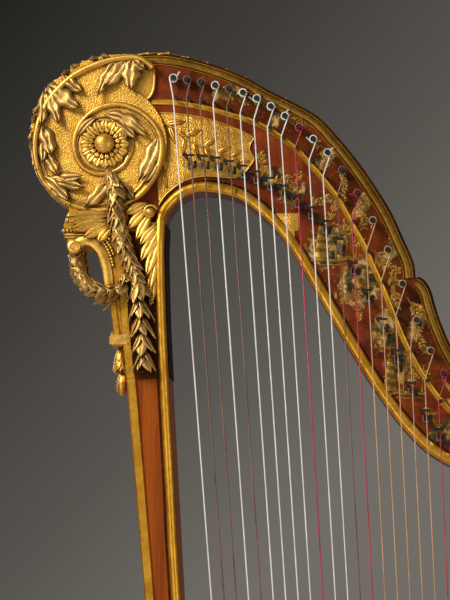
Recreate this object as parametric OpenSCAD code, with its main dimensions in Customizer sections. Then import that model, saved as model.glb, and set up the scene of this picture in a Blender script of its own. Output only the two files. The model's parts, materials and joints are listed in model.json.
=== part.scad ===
// Concert harp: a single-action pedal harp with hooks, seven pedals and 38 strings.
// X runs from the column towards the player, Y across the harp, Z up. Millimetres.

/* [Strings] */
// Number of strings
string_count = 38; // [30:1:38]
// Distance between strings, measured level, at the reference height
string_pitch = 12.15; // [11.8:0.05:12.4]
// Distance of the string plane in front of the neck
string_gap = 10; // [9:0.5:11]
// Radius of the lowest string
string_r_low = 1.0; // [0.8:0.05:1.1]
// Radius of the highest string
string_r_high = 0.4; // [0.3:0.05:0.6]

/* [Neck] */
// Thickness of the neck
neck_t = 34; // [32:1:36]
// Distance of the neck's middle plane behind the harp's middle plane
neck_y = 12; // [11:1:13]
// Height of the gilt mouldings above the faces
moulding_h = 3; // [2.5:0.5:3]
// Radius of a tuning pin
pin_r = 2.6; // [2.4:0.1:2.8]
// Radius of a hook's stem
stem_r = 1.5; // [1.4:0.1:1.6]

/* [Column] */
// Depth of the column, front to back of the string plane
column_depth = 50; // [50:1:54]
// Distance between the pedal rods
rod_pitch = 6; // [6:0.1:6.2]
// Radius of a pedal rod
rod_r = 1.25; // [1:0.05:1.4]

/* [Soundbox] */
// Lean of the soundboard from upright, in degrees
board_lean = 21.5; // [21.3:0.1:21.7]
// Thickness of the soundboard
board_t = 5; // [4:0.5:6]
// Number of flat staves in the back
stave_count = 7; // [7:2:9]
// Thickness of a stave
stave_t = 5; // [4:0.5:6]

/* [Base and pedals] */
// Height of the base box above its bottom board
base_h = 104; // [104:1:108]
// Wall thickness of the base box
base_wall = 12; // [10:1:13]
// Distance from the pivot shaft to the rods
rod_arm = 40; // [38:1:42]
// Radius of the pivot shaft
shaft_r = 3; // [2.5:0.5:3]

/* [Hidden] */

// The drawing's X is shifted so that the origin is under the middle of the whole harp
frame_shift = 5.4;
fit = 0.05;
past = 1;

gilt = "goldenrod";
lacquer = "firebrick";
varnish = "sienna";
iron = "dimgray";
steel = "silver";
brass = "darkgoldenrod";
spruce = "burlywood";
walnut = "saddlebrown";

// Faces of the neck, and the plane of the strings at the nuts
neck_front = neck_y - neck_t / 2;
neck_back = neck_y + neck_t / 2;
string_plane = neck_front - string_gap;

// Order of the pedals from the left side to the right, and of the strings up the scale
pedal_notes = ["d", "c", "b", "e", "f", "g", "a"];
scale_notes = ["a", "b", "c", "d", "e", "f", "g"];
string_steps = len(scale_notes);

// Strings: place at the reference height, and lean of the first with its change per string
ref_z = 1074;
first_x = -178.5;
first_slope = 0.077;
slope_step = 0.0022;
// Heights of the nut pins at every third string, and of the tuning pins above and beyond them
nut_heights = [1576, 1570, 1552, 1523, 1474, 1387, 1289, 1243, 1230, 1233, 1240, 1246, 1251, 1254];
pin_rises = [20, 18, 22, 21, 26, 32, 29, 23, 20, 20, 20, 20, 20, 20];
pin_leads = [0, 2, 3, 4, 5, 7, 6, 5, 4, 4, 4, 4, 4, 4];
nut_step = 3;
nut_r = 1.6;
hook_travel = 3.3;
hook_bar_r = 1.2;
hook_reach = 4;
hook_offset = 5;

// Soundbox, in its own leaning frame: x into the box, z up along the string line
base_top = 140;
line_x = -134.6;
box_low = -80;
box_high = 1130;
box_r_low = 189;
box_r_high = 56;
bar_t = 3;
shell_x = bar_t + board_t;
edging_w = 10;
shoulder_h = 35;

// Base
bottom_z = 26;
bottom_t = 10;
base_floor = bottom_z + bottom_t;
base_center = -120;
base_a = 205;
base_b = 192;
nose_x = -225;
nose_half = 62;
lid_t = 14;
pivot_x = -196.4;
pivot_z = 75;
hub_r = 6;
hub_w = rod_pitch - 0.8;
slot_clear = 3;
lever_h = 10;
// Where the pedals' feet stand
pedal_x = [82, 120, 140, 147, 140, 120, 82];
pedal_y = [-140, -95, -50, 5, 50, 95, 140];
fan_x = -140;

// Column axis: leans towards the player at the foot
rod_slope = 0.07;
rod_lean = atan(rod_slope);
rod_length = 1370;

// Outlines in the plane of the neck: [X, Z]
neck_top_a = [[-262, 1622], [-228, 1623], [-190, 1615], [-150, 1600], [-122, 1584], [-97, 1571],
    [-72, 1556], [-49, 1531], [-31, 1508], [-13, 1481], [1, 1457], [12, 1432], [22, 1408],
    [24, 1392]];
neck_top_b = [[27, 1393], [33, 1389], [39, 1379], [44, 1361], [50, 1343], [60, 1320], [75, 1296],
    [95, 1278], [125, 1267], [165, 1267], [210, 1274], [255, 1283], [298, 1288], [332, 1279],
    [347, 1256], [348, 1230], [346.4, 1202.7]];
neck_low = [[-225, 1449], [-223, 1457], [-218, 1465], [-209, 1474], [-199, 1479], [-187, 1481],
    [-172, 1479], [-159, 1476], [-146, 1470], [-130, 1457], [-115, 1442], [-99, 1420],
    [-74, 1377], [-43, 1323], [-16, 1279], [11, 1242], [38, 1216], [75, 1197], [115, 1190],
    [160, 1195], [210, 1206], [255, 1217], [295.2, 1222.9]];
gilt_line = [[-240, 1573], [-221, 1573], [-202, 1570], [-183, 1566], [-163, 1560], [-143, 1554],
    [-124, 1545], [-105, 1532], [-90, 1519], [-78, 1505], [-63, 1487], [-50, 1468],
    [-39, 1447], [-28, 1427], [-19, 1406], [-9, 1383], [5, 1347], [15, 1323], [26, 1302],
    [40, 1280], [57, 1259], [80, 1246], [105, 1241], [140, 1242], [190, 1250], [240, 1260],
    [285, 1266]];
// Rosette centre, and the scroll's radii below and beside it
rosette = [-286, 1529];
scroll_r_low = 70;
scroll_r_grow = 22;
scroll_r_ring = 62;
capital_outline = [[-327, 1449], [-327, 1443], [-324, 1437], [-323, 1430], [-320, 1424],
    [-316, 1422], [-311, 1424], [-307, 1427], [-301, 1427], [-296, 1424], [-292, 1416],
    [-289, 1404], [-286, 1393], [-282, 1375], [-275.5, 1339], [-279, 1339], [-279, 1329],
    [-266, 1329], [-263.5, 1293], [-221, 1293], [-224, 1350], [-226, 1421], [-225, 1449]];
column_outline = [[-263.5, 1293], [-221, 1293], [-208.5, 1074], [-149.5, 230], [-185, 230],
    [-244, 1074]];

// ---- General functions ----

// Point on a smooth curve through b and c, with a and d beyond them
function blend(a, b, c, d, t) = 0.5 * (2 * b + (c - a) * t + (2 * a - 5 * b + 4 * c - d) * t * t
    + (3 * b - a - 3 * c + d) * t * t * t);

// Value at u on a smooth curve through the list's numbers or points
function along(p, u) = let (n = len(p) - 1, i = min(floor(u), n - 1))
    blend(p[max(i - 1, 0)], p[i], p[i + 1], p[min(i + 2, n)], u - i);

// Smooth curve through points, with so many steps between two of them
function smooth(p, steps = 3) = [for (k = [0:(len(p) - 1) * steps]) along(p, k / steps)];

function reversed(p) = [for (i = [len(p) - 1:-1:0]) p[i]];

// Curve moved sideways: positive distances lie left of its direction
function beside(p, distance) = [for (i = [0:len(p) - 1])
    let (d = p[min(i + 1, len(p) - 1)] - p[max(i - 1, 0)])
    p[i] + distance * [-d[1], d[0]] / norm(d)];

// Closed band between two distances beside a curve
function band(p, low, high) = concat(beside(p, low), reversed(beside(p, high)));

// Points of an arc
function arc(center, r, from, to, steps) = [for (k = [0:steps])
    let (a = from + (to - from) * k / steps) center + r * [cos(a), sin(a)]];

// Ring of points round a path point, square to the path there
function unit(v) = v / norm(v);
function path_way(p, i) = unit(unit(p[min(i + 1, len(p) - 1)] - p[max(i - 1, 0)])
    + 0.001 * [1, 0, 0]);
function path_ring(p, i, r, sides) = let (w = path_way(p, i), s = unit(cross(w, [0.1, 1, 0.2])),
    u = cross(s, w)) [for (k = [0:sides - 1]) let (a = 360 * k / sides)
    p[i] + r * (cos(a) * s + sin(a) * u)];

// Solid tube swept along a path's points
module tube(p, r, sides = 8) {
    n = len(p);
    points = [for (i = [0:n - 1]) each path_ring(p, i, r, sides)];
    walls = [for (i = [0:n - 2], k = [0:sides - 1]) let (m = (k + 1) % sides)
        [i * sides + k, i * sides + m, (i + 1) * sides + m, (i + 1) * sides + k]];
    low = [for (k = [sides - 1:-1:0]) k];
    high = [for (k = [0:sides - 1]) (n - 1) * sides + k];
    polyhedron(points, concat([low], walls, [high]));
}

// ---- Frames that the parts are drawn in ----

module in_frame() {
    translate([frame_shift, 0, 0]) children();
}

// Plate drawn in the plane of the neck, from one Y to another
module plate(y_from, y_to) {
    translate([0, y_to, 0]) rotate([90, 0, 0]) linear_extrude(height = y_to - y_from) children();
}

// The same outline on the front face and on the back face, standing proud of both
module both_faces(front, back, height) {
    plate(front - height, front) children();
    plate(back, back + height) children();
}

// Cylinder along +Y
module pin_y(x, y_from, y_to, z, r, sides = 24) {
    translate([x, y_from, z]) rotate([-90, 0, 0]) cylinder(h = y_to - y_from, r = r, $fn = sides);
}

// Leaning frame of the soundbox
module in_box() {
    translate([line_x, 0, base_top]) rotate([0, board_lean, 0]) children();
}

// Leaning frame of the rods, which start at the levers
module in_rods() {
    translate([pivot_x + rod_arm, neck_y, pivot_z]) rotate([0, -rod_lean, 0]) children();
}

// Everything above the base
module above_base() {
    translate([-400, -300, base_top]) cube([1000, 600, 1400]);
}

// ---- Strings, pins and hooks ----

function slope(i) = first_slope - slope_step * i;
function string_x(i, z) = first_x + string_pitch * i - slope(i) * (z - ref_z);
function string_r(i) = string_r_low + (string_r_high - string_r_low) * i / (string_count - 1);
function nut_z(i) = along(nut_heights, i / nut_step);
function nut_x(i) = string_x(i, nut_z(i));
function foot_z(i) = let (t = tan(board_lean))
    (string_x(i, 0) - line_x + base_top * t) / (t + slope(i));
function foot_x(i) = string_x(i, foot_z(i));
function hook_z(i) = nut_z(i) - 3 - 0.0415 * (nut_z(i) - foot_z(i));
function hook_x(i) = string_x(i, hook_z(i));
// Y of a string at a height: it runs from the string plane to the middle of the board
function string_y(i, z) = string_plane * (z - foot_z(i)) / (nut_z(i) - foot_z(i));
function tuning_z(i) = nut_z(i) + along(pin_rises, i / nut_step);
function tuning_x(i) = nut_x(i) + along(pin_leads, i / nut_step);
function note(i) = scale_notes[i % string_steps];
board_out = [-cos(board_lean), 0, sin(board_lean)];
first_hook = 1;
last_string = string_count - 1;
hook_line = [for (i = [first_hook:last_string]) [hook_x(i), hook_z(i)]];
cavity_line = concat([hook_line[0] + [-10, 1]], hook_line, [hook_line[last_string - 1] + [10, 1]]);
cavity_low = -7;
cavity_high = 12;
cover_low = -12;
cover_high = 16;
cavity_floor = 8;
cover_t = 3;

// Colours of the strings, by their place in the row
red_strings = [9, 13, 19, 23, 30, 37];
dark_strings = [1, 2, 4, 12, 26, 33];
tan_first = 14;

module one_string(i) {
    r = string_r(i);
    nut = [nut_x(i), string_plane, nut_z(i)];
    way = [tuning_x(i) - nut_x(i), tuning_z(i) - nut_z(i)];
    reach = pin_r + r + 2 * fit;
    turn = atan2(way[1], way[0]) - asin(reach / norm(way));
    run = sqrt(norm(way) * norm(way) - reach * reach);
    top = nut + run * [cos(turn), 0, sin(turn)];
    foot = [foot_x(i), 0, foot_z(i)];
    tube([top, nut, foot + 3.4 * board_out, foot + 0.2 * board_out], r);
}

module strings_white() {
    color("ivory") in_frame() for (i = [0:last_string])
        if (i < tan_first && len(search(i, red_strings)) == 0 && len(search(i, dark_strings)) == 0)
            one_string(i);
}

module strings_red() {
    color("crimson") in_frame() for (i = red_strings) one_string(i);
}

module strings_dark() {
    color("darkslategray") in_frame() for (i = dark_strings) one_string(i);
}

module strings_tan() {
    color("tan") in_frame() for (i = [tan_first:last_string])
        if (len(search(i, red_strings)) == 0 && len(search(i, dark_strings)) == 0) one_string(i);
}

pin_front = string_plane - 3;
pin_back = neck_back + 11;
key_square = 4;
key_length = 9;

module tuning_pins() {
    color(iron) in_frame() for (i = [0:last_string]) {
        pin_y(tuning_x(i), pin_front, pin_back, tuning_z(i), pin_r);
        translate([tuning_x(i) - key_square / 2, pin_back, tuning_z(i) - key_square / 2])
            cube([key_square, key_length, key_square]);
    }
}

nut_depth = 5;
// A nut pin stands in the bend of its string, clear of both straight runs
function nut_pin_x(i) = nut_x(i) + 1.05 * (string_r(i) + nut_r + fit);
function nut_pin_z(i) = nut_z(i) - 0.3;
module nut_pins() {
    color(iron) in_frame() for (i = [0:last_string])
        pin_y(nut_pin_x(i), string_plane - 2.5, neck_front + nut_depth, nut_pin_z(i), nut_r);
}

module sillet(i) {
    x = hook_x(i);
    z = hook_z(i) - 4;
    y = string_y(i, z) + string_r(i) + 1.6;
    translate([x - 3.6, y, z - 7]) cube([1, neck_front - y, 7]);
    translate([x - 3.6, y, z - 7]) cube([6, neck_front - y, 1.4]);
}

module sillets() {
    color(steel) in_frame() for (i = [first_hook:last_string]) sillet(i);
}

module hook_plates() {
    color(iron) in_frame() for (i = [first_hook:last_string])
        translate([hook_x(i) + 2.6, neck_front - 1.5, hook_z(i) - 11]) cube([2.6, 1.5, 8]);
}

// A hook: stem through the neck's front wall, ball head, and a bar across the string
module hook(i) {
    x = hook_x(i);
    z = hook_z(i);
    y = string_y(i, z) - string_r(i) - 0.3 - hook_bar_r - hook_travel;
    pin_y(x - hook_offset, y, neck_front + cavity_floor + 9, z, stem_r);
    pin_y(x - hook_offset, y - 2.4, y + 1.4, z, 2.2);
    pin_y(x - hook_offset, neck_front + cavity_floor + 4, neck_front + cavity_floor + 7, z, 2.3);
    translate([x - hook_offset, y, z]) rotate([0, 90, 0])
        cylinder(h = hook_offset + hook_reach, r = hook_bar_r, $fn = 16);
}

module hooks(name) {
    color(iron) in_frame() for (i = [first_hook:last_string]) if (note(i) == name) hook(i);
}

// ---- Neck ----

neck_outline = concat(smooth(neck_top_a), smooth(neck_top_b), reversed(smooth(neck_low)),
    [[-262, 1449]]);

scroll_outline = concat([[-262, 1622]],
    [for (a = [90:10:270]) rosette + (scroll_r_low + scroll_r_grow * pow((270 - a) / 180, 2))
        * [cos(a), sin(a)]],
    arc(rosette, scroll_r_ring, -80, 66, 14));

module neck_plan() {
    difference() {
        polygon(neck_outline);
        polygon(scroll_outline);
    }
}

// Screws that hold the cover: at every so many hooks, above and below the cavity
screw_step = 6;
screw_r = 1.2;
screw_places = [for (k = [2:screw_step:len(cavity_line) - 2]) each
    [beside(cavity_line, cavity_low - 2.5)[k], beside(cavity_line, cavity_high + 2)[k]]];
screw_depth = 10;

module neck() {
    color(lacquer) in_frame() difference() {
        plate(neck_front, neck_back) neck_plan();
        plate(neck_front + cavity_floor, neck_back + past)
            polygon(band(cavity_line, cavity_low, cavity_high));
        for (i = [0:last_string])
            pin_y(tuning_x(i), neck_front - past, neck_back + past, tuning_z(i), pin_r + fit);
        for (i = [0:last_string])
            pin_y(nut_pin_x(i), neck_front - past, neck_front + nut_depth, nut_pin_z(i), nut_r);
        for (i = [first_hook:last_string])
            pin_y(hook_x(i) - hook_offset, neck_front - past, neck_back, hook_z(i),
                stem_r + fit);
        for (p = screw_places) pin_y(p[0], neck_back - screw_depth, neck_back + past, p[1], screw_r);
    }
}

module neck_cover() {
    color(walnut) in_frame() difference() {
        plate(neck_back, neck_back + cover_t) polygon(band(cavity_line, cover_low, cover_high));
        for (p = screw_places)
            pin_y(p[0], neck_back - past, neck_back + cover_t + past, p[1], screw_r + fit);
    }
}

module cover_screws() {
    color(brass) in_frame() for (p = screw_places) {
        pin_y(p[0], neck_back - screw_depth, neck_back + cover_t, p[1], screw_r);
        pin_y(p[0], neck_back + cover_t, neck_back + cover_t + 1.2, p[1], 2);
    }
}

// Gilt mouldings: the wide top band, the thin line and the lower moulding, on both faces
top_band_w = 9;
line_w = 5;
line_h = 2;
low_front_w = 10;
low_back_w = 6;
trim_gap = 0.2;
module moulding_plan(low_w) {
    difference() {
        intersection() {
            neck_plan();
            union() {
                polygon(band(smooth(neck_top_a), -top_band_w, 0));
                polygon(band(smooth(neck_top_b), -top_band_w, 0));
                polygon(band(smooth(neck_low), 0, low_w));
            }
        }
        for (i = [0:last_string])
            translate([tuning_x(i), tuning_z(i)]) circle(r = pin_r + trim_gap, $fn = 24);
    }
}

// Places of the sillets and plates, which the front mouldings leave free
module hook_seats() {
    for (i = [first_hook:last_string])
        translate([hook_x(i) - 3.6 - trim_gap, hook_z(i) - 11 - trim_gap])
            square([8.8 + 2 * trim_gap, 8 + 2 * trim_gap]);
}

module neck_mouldings() {
    color(gilt) in_frame() {
        plate(neck_front - moulding_h, neck_front) difference() {
            moulding_plan(low_front_w);
            hook_seats();
        }
        plate(neck_front - line_h, neck_front) difference() {
            polygon(band(smooth(gilt_line), -line_w / 2, line_w / 2));
            hook_seats();
            for (i = [0:last_string])
                translate([nut_pin_x(i), nut_pin_z(i)]) circle(r = nut_r + trim_gap, $fn = 24);
            for (i = [0:last_string])
                translate([tuning_x(i), tuning_z(i)]) circle(r = pin_r + trim_gap, $fn = 24);
        }
        plate(neck_back, neck_back + moulding_h) difference() {
            moulding_plan(low_back_w);
            polygon(band(cavity_line, cover_low - trim_gap, cover_high + trim_gap));
        }
    }
}

// ---- Scroll and capital ----

scroll_front = neck_y - 24;
scroll_back = neck_y + 24;
slot_w = 8;
slot_depth = 6 * rod_pitch + 6;

// Slot that the rods run in, up the whole column
module rod_slot() {
    in_rods() translate([-slot_w / 2, -slot_depth / 2, -past])
        cube([slot_w, slot_depth, rod_length + 6]);
}

module scroll() {
    color(gilt) in_frame() plate(scroll_front, scroll_back) polygon(scroll_outline);
}

// Raised bead that winds from the ring out to the rim
bead_turn = [for (a = [-150:15:250]) let (t = (a + 150) / 400)
    rosette + (36 + 26 * t) * [cos(a), sin(a)]];
module scroll_mouldings() {
    color(gilt) in_frame() both_faces(scroll_front, scroll_back, 3) polygon(band(bead_turn, -3, 3));
}

module rosettes() {
    color(gilt) in_frame() for (side = [-1, 1])
        translate([rosette[0], neck_y + side * 24, rosette[1]]) rotate([-90 * side, 0, 0]) {
            rotate_extrude($fn = 48) polygon([[0, 0], [26, 0], [28, 2], [24, 4], [11, 4], [9, 8],
                [5, 10], [0, 10.5]]);
        }
}

capital_front = neck_y - 26;
capital_back = neck_y + 26;
saddle = [[-322, 1449], [-262, 1449], [-262, 1476], [-322, 1476]];
module capital() {
    color(gilt) in_frame() difference() {
        plate(capital_front, capital_back) difference() {
            union() {
                polygon(capital_outline);
                polygon(saddle);
            }
            polygon(scroll_outline);
        }
        rod_slot();
    }
}

// Laurel garlands: the swag from the console and the drop below the rosette, on both faces
swag = [[-314, 10, 1415], [-314, 14, 1406], [-310, 20, 1395], [-302, 27, 1386], [-290, 33, 1382],
    [-278, 34, 1382], [-268, 34, 1388]];
drop = [[-281, 34, 1498], [-274, 33, 1488], [-273, 33, 1460], [-268, 33, 1430], [-258, 33, 1405],
    [-251, 33, 1385], [-249, 33, 1350], [-246, 33, 1310]];
garland_r = 5;
module garlands() {
    color(gilt) in_frame() for (side = [-1, 1]) {
        swag_path = [for (p = smooth(swag, 2)) [p[0], neck_y + side * p[1], p[2]]];
        drop_path = [for (p = smooth(drop, 2)) [p[0], neck_y + side * p[1], p[2]]];
        tube(swag_path, garland_r, 10);
        tube(drop_path, garland_r, 10);
    }
}

// A leaf's outline, from its root along +X
function leaf_outline(length, width) = concat([[0, 0]],
    [for (t = [0.15:0.17:0.85]) [length * t, width * sin(180 * t) * (0.5 + 0.1 * sin(1440 * t))]],
    [[length, 0]],
    [for (t = [0.85:-0.17:0.15]) [length * t, -width * sin(180 * t) * (0.5 + 0.1 * sin(1440 * t))]]);
// Places of the leaves about the rosette: angle, distance, direction, length, width
leaf_places = [[112, 74, 20, 34, 22], [146, 62, 110, 36, 24], [180, 56, 250, 34, 20],
    [222, 52, 300, 36, 22], [268, 50, 350, 30, 18], [318, 30, 60, 34, 18]];
module acanthus_leaves() {
    color(gilt) in_frame() both_faces(scroll_front, scroll_back, 2.5) difference() {
        intersection() {
            polygon(scroll_outline);
            for (p = leaf_places)
                translate(rosette + p[1] * [cos(p[0]), sin(p[0])]) rotate(p[2])
                    polygon(leaf_outline(p[3], p[4]));
        }
        polygon(band(bead_turn, -3, 3));
        translate(rosette) circle(r = 29, $fn = 48);
    }
}

// ---- Column ----

column_front = neck_y - column_depth / 2;
column_back = neck_y + column_depth / 2;

module column() {
    color(varnish) in_frame() difference() {
        plate(column_front, column_back) polygon(column_outline);
        rod_slot();
    }
}

// Gilt strips along the column's edges
strip_h = 2.5;
column_left = [[-263.5, 1293], [-244, 1074], [-185, 230]];
column_right = [[-221, 1293], [-208.5, 1074], [-149.5, 230]];
module column_mouldings() {
    color(gilt) in_frame() both_faces(column_front, column_back, strip_h) {
        polygon(concat(column_left, [[-178.5, 230], [-237.5, 1074], [-254, 1293]]));
        polygon(concat(column_right, [[-155.5, 230], [-214.5, 1074], [-229, 1293]]));
    }
}

module column_foot() {
    color(gilt) in_frame() difference() {
        union() {
            translate([-188, neck_y - 34, base_top]) cube([50, 68, 20]);
            translate([-185, neck_y - 31, base_top + 20]) cube([43, 62, 8]);
            translate([-183, neck_y - 29, base_top + 28]) cube([39, 58, 48]);
            translate([-186.5, neck_y - 31, base_top + 76]) cube([41, 62, 14]);
        }
        rod_slot();
    }
}

// ---- Soundbox ----

// Half-width of the soundbox at a height along it
function half_width(z) = box_r_low + (box_r_high - box_r_low) * (z - box_low) / (box_high - box_low);

// Half of a regular polygon, flat side on the Y axis
function half_polygon(r) = [for (k = [0:stave_count]) let (a = -90 + 180 * k / stave_count)
    r * [cos(a), sin(a)]];

// Tapering half cone with flat sides, so far inside the staves' outer faces
module half_cone(inset) {
    translate([shell_x, 0, box_low]) linear_extrude(height = box_high - box_low,
        scale = (box_r_high - inset) / (box_r_low - inset)) polygon(half_polygon(box_r_low - inset));
}

// Panel in the plane of the board: y across, z up, from one depth to another
module panel(x_from, x_to) {
    translate([x_from, 0, 0]) rotate([90, 0, 90]) linear_extrude(height = x_to - x_from) children();
}

sound_holes = [230, 440, 650, 850];
slot_half = 22;
hole_r = 17;
module back_staves() {
    color(walnut) in_frame() intersection() {
        in_box() difference() {
            half_cone(0);
            half_cone(stave_t);
            for (z = sound_holes) {
                for (end = [-1, 1]) translate([40, 0, z + end * slot_half]) rotate([0, 90, 0])
                    cylinder(h = 200, r = hole_r, $fn = 32);
                translate([40, -hole_r, z - slot_half]) cube([200, 2 * hole_r, 2 * slot_half]);
            }
        }
        above_base();
    }
}

// Bent ribs inside the shell
rib_places = [130, 340, 545, 750, 960];
rib_t = 10;
rib_depth = 14;
module ribs() {
    color(spruce) in_frame() in_box() difference() {
        intersection() {
            half_cone(stave_t);
            for (z = rib_places) translate([0, -200, z]) cube([300, 400, rib_t]);
        }
        half_cone(stave_t + rib_depth);
        translate([0, -200, 0]) cube([shell_x + 10, 400, box_high]);
    }
}

// Pierced roses either side of the string line
rose_places = [240, 520, 780];
rose_petals = 6;
module rose(y, z) {
    translate([0, y, z]) rotate([0, 90, 0]) cylinder(h = 20, r = 5, $fn = 24);
    for (k = [1:rose_petals]) rotate_about(y, z, 360 * k / rose_petals)
        translate([0, y, z + 13]) rotate([0, 90, 0]) cylinder(h = 20, r = 4, $fn = 24);
}

module rotate_about(y, z, a) {
    translate([0, y, z]) rotate([a, 0, 0]) translate([0, -y, -z]) children();
}

module soundboard() {
    color(spruce) in_frame() intersection() {
        in_box() difference() {
            panel(bar_t, shell_x) polygon([[-half_width(box_low), box_low],
                [half_width(box_low), box_low], [half_width(box_high), box_high],
                [-half_width(box_high), box_high]]);
            for (z = rose_places, side = [-1, 1]) rose(side * half_width(z) * 0.55, z);
        }
        above_base();
    }
}

module board_edging() {
    color(gilt) in_frame() intersection() {
        in_box() for (side = [-1, 1]) panel(0, bar_t)
            polygon([[side * half_width(box_low), box_low], [side * half_width(box_high), box_high],
                [side * (half_width(box_high) - edging_w), box_high],
                [side * (half_width(box_low) - edging_w), box_low]]);
        above_base();
    }
}

bar_low = 60;
bar_high = 1124;
module string_bar() {
    color(walnut) in_frame() in_box() panel(0, bar_t)
        polygon([[-10, bar_low], [10, bar_low], [6, bar_high], [-6, bar_high]]);
}

button_r = 3;
button_h = 2.4;
module string_buttons() {
    color("ivory") in_frame() for (i = [0:last_string])
        translate([foot_x(i), 0, foot_z(i)]) rotate([0, board_lean - 90, 0]) difference() {
            cylinder(h = button_h, r = button_r, $fn = 24);
            translate([0, 0, -past]) cylinder(h = button_h + 2 * past, r = string_r(i) + 0.2,
                $fn = 24);
        }
}

module shoulder_block() {
    color(walnut) in_frame() in_box() translate([0, 0, box_high]) linear_extrude(shoulder_h)
        polygon(concat([[bar_t, -box_r_high]],
            [for (p = half_polygon(box_r_high)) p + [shell_x, 0]], [[bar_t, box_r_high]]));
}

// ---- Base ----

// Plan of the base: a nose under the column and a half ellipse under the soundbox
function base_plan(inset) = concat(
    [for (k = [-90:6:90]) [base_center + (base_a - inset) * cos(k), (base_b - inset) * sin(k)]],
    [[base_center - 25, base_b - inset], [nose_x + inset, nose_half - inset / 2],
        [nose_x + inset, -nose_half + inset / 2], [base_center - 25, -base_b + inset]]);

function hub_y(n) = neck_y + (n - 3) * rod_pitch;

// Vertical slot in the wall for a lever, with the notch beside its lower end
slot_top = 84;
slot_low = 40;
notch_shift = 7;
module lever_slot(n) {
    side = pedal_y[n] < 0 ? -1 : 1;
    translate([0, 0, slot_low]) linear_extrude(slot_top - slot_low) polygon(slot_plan(n, 0));
    translate([0, 0, slot_low]) linear_extrude(12) polygon(slot_plan(n, side * notch_shift));
}

function slot_plan(n, shift) = let (a = [fan_x, hub_y(n)], b = [pedal_x[n], pedal_y[n]],
    start = a + (b - a) * 0.42, move = [0, shift], half = hub_w / 2 + slot_clear)
    band([start + move, b + move], -half, half);

cheek_t = 10;
cheek_low = hub_y(0) - hub_w / 2 - 0.8;
cheek_high = hub_y(6) + hub_w / 2 + 0.8;
shaft_cap = 8;
module base_box() {
    color(lacquer) in_frame() difference() {
        union() {
            translate([0, 0, base_floor]) linear_extrude(base_h) difference() {
                polygon(base_plan(0));
                polygon(base_plan(base_wall));
            }
            translate([0, 0, base_top - lid_t]) linear_extrude(lid_t) polygon(base_plan(0));
            translate([nose_x + 6, cheek_low - cheek_t, base_floor]) cube([46, cheek_t, 58]);
            translate([nose_x + 6, cheek_high, base_floor]) cube([46, cheek_t, 58]);
        }
        pin_y(pivot_x, cheek_low - shaft_cap, cheek_high + shaft_cap, pivot_z, shaft_r);
        for (n = [0:6]) lever_slot(n);
        rod_slot();
    }
}

module base_bottom() {
    color(walnut) in_frame() translate([0, 0, bottom_z]) linear_extrude(bottom_t)
        polygon(base_plan(0));
}

// Turned feet, and brass rail with the pedals' notches
foot_places = [[-190, -38], [-190, 38], [20, -110], [20, 110]];
module feet() {
    color(gilt) in_frame() for (p = foot_places) translate([p[0], p[1], 0])
        rotate_extrude($fn = 48) polygon(concat([[0, 0], [13, 0]],
            smooth([[17, 3], [21, 9], [20, 16], [15, 20]]), [[16, 22], [16, bottom_z],
            [0, bottom_z]]));
}

rail_t = 2;
module notch_rail() {
    color(brass) in_frame() difference() {
        translate([0, 0, slot_low]) linear_extrude(slot_top - slot_low + 4)
            polygon(concat([for (k = [-60:6:60]) rail_point(k, rail_t)],
                [for (k = [60:-6:-60]) rail_point(k, 0)]));
        for (n = [0:6]) translate([0, 0, -past]) lever_slot(n);
    }
}

function rail_point(a, out) = [base_center + (base_a + out) * cos(a), (base_b + out) * sin(a)];

module pedal_shaft() {
    color(steel) in_frame()
        pin_y(pivot_x, cheek_low - shaft_cap, cheek_high + shaft_cap, pivot_z, shaft_r, 32);
}

// Springs that lift the levers, hung from the base's top
spring_x = -90;
spring_turns = 6;
spring_r = 4;
wire_r = 0.8;
spring_low = pivot_z + lever_h / 2 + 1.5;
spring_high = base_top - lid_t;
function lever_y(n, x) = hub_y(n) + (pedal_y[n] - hub_y(n)) * (x - fan_x) / (pedal_x[n] - fan_x);
module pedal_springs() {
    color(steel) in_frame() for (n = [0:6]) translate([spring_x, lever_y(n, spring_x), 0])
        tube([for (k = [0:9 * spring_turns]) [spring_r * cos(40 * k), spring_r * sin(40 * k),
            spring_low + wire_r + (spring_high - spring_low - 2 * wire_r) * k / 9 / spring_turns]],
            wire_r, 5);
}

// A pedal: hub on the shaft, slotted for its rod, fanning out to a shod foot
rod_slot_l = 7;
rod_slot_w = 2 * rod_r + 0.8;
module pedal(n) {
    color(iron) in_frame() difference() {
        union() {
            pin_y(pivot_x, hub_y(n) - hub_w / 2, hub_y(n) + hub_w / 2, pivot_z, hub_r, 32);
            translate([pivot_x, hub_y(n) - hub_w / 2, pivot_z - lever_h / 2])
                cube([fan_x - pivot_x, hub_w, lever_h]);
            translate([0, 0, pivot_z - lever_h / 2]) linear_extrude(lever_h)
                polygon(band([[fan_x - 6, hub_y(n)], [fan_x, hub_y(n)], [pedal_x[n], pedal_y[n]]],
                    -hub_w / 2, hub_w / 2));
            translate([pedal_x[n], pedal_y[n], pivot_z - lever_h / 2 - 2]) pedal_foot();
        }
        pin_y(pivot_x, hub_y(n) - hub_w, hub_y(n) + hub_w, pivot_z, shaft_r + fit, 32);
        translate([pivot_x + rod_arm - rod_slot_l / 2, hub_y(n) - rod_slot_w / 2, pivot_z - lever_h])
            cube([rod_slot_l, rod_slot_w, 2 * lever_h]);
    }
}

foot_l = 42;
foot_w = 24;
module pedal_foot() {
    linear_extrude(14) polygon(concat([[-8, -foot_w / 4], [4, -foot_w / 2]],
        arc([foot_l - foot_w / 2, 0], foot_w / 2, -90, 90, 10), [[4, foot_w / 2],
        [-8, foot_w / 4]]));
}

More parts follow.
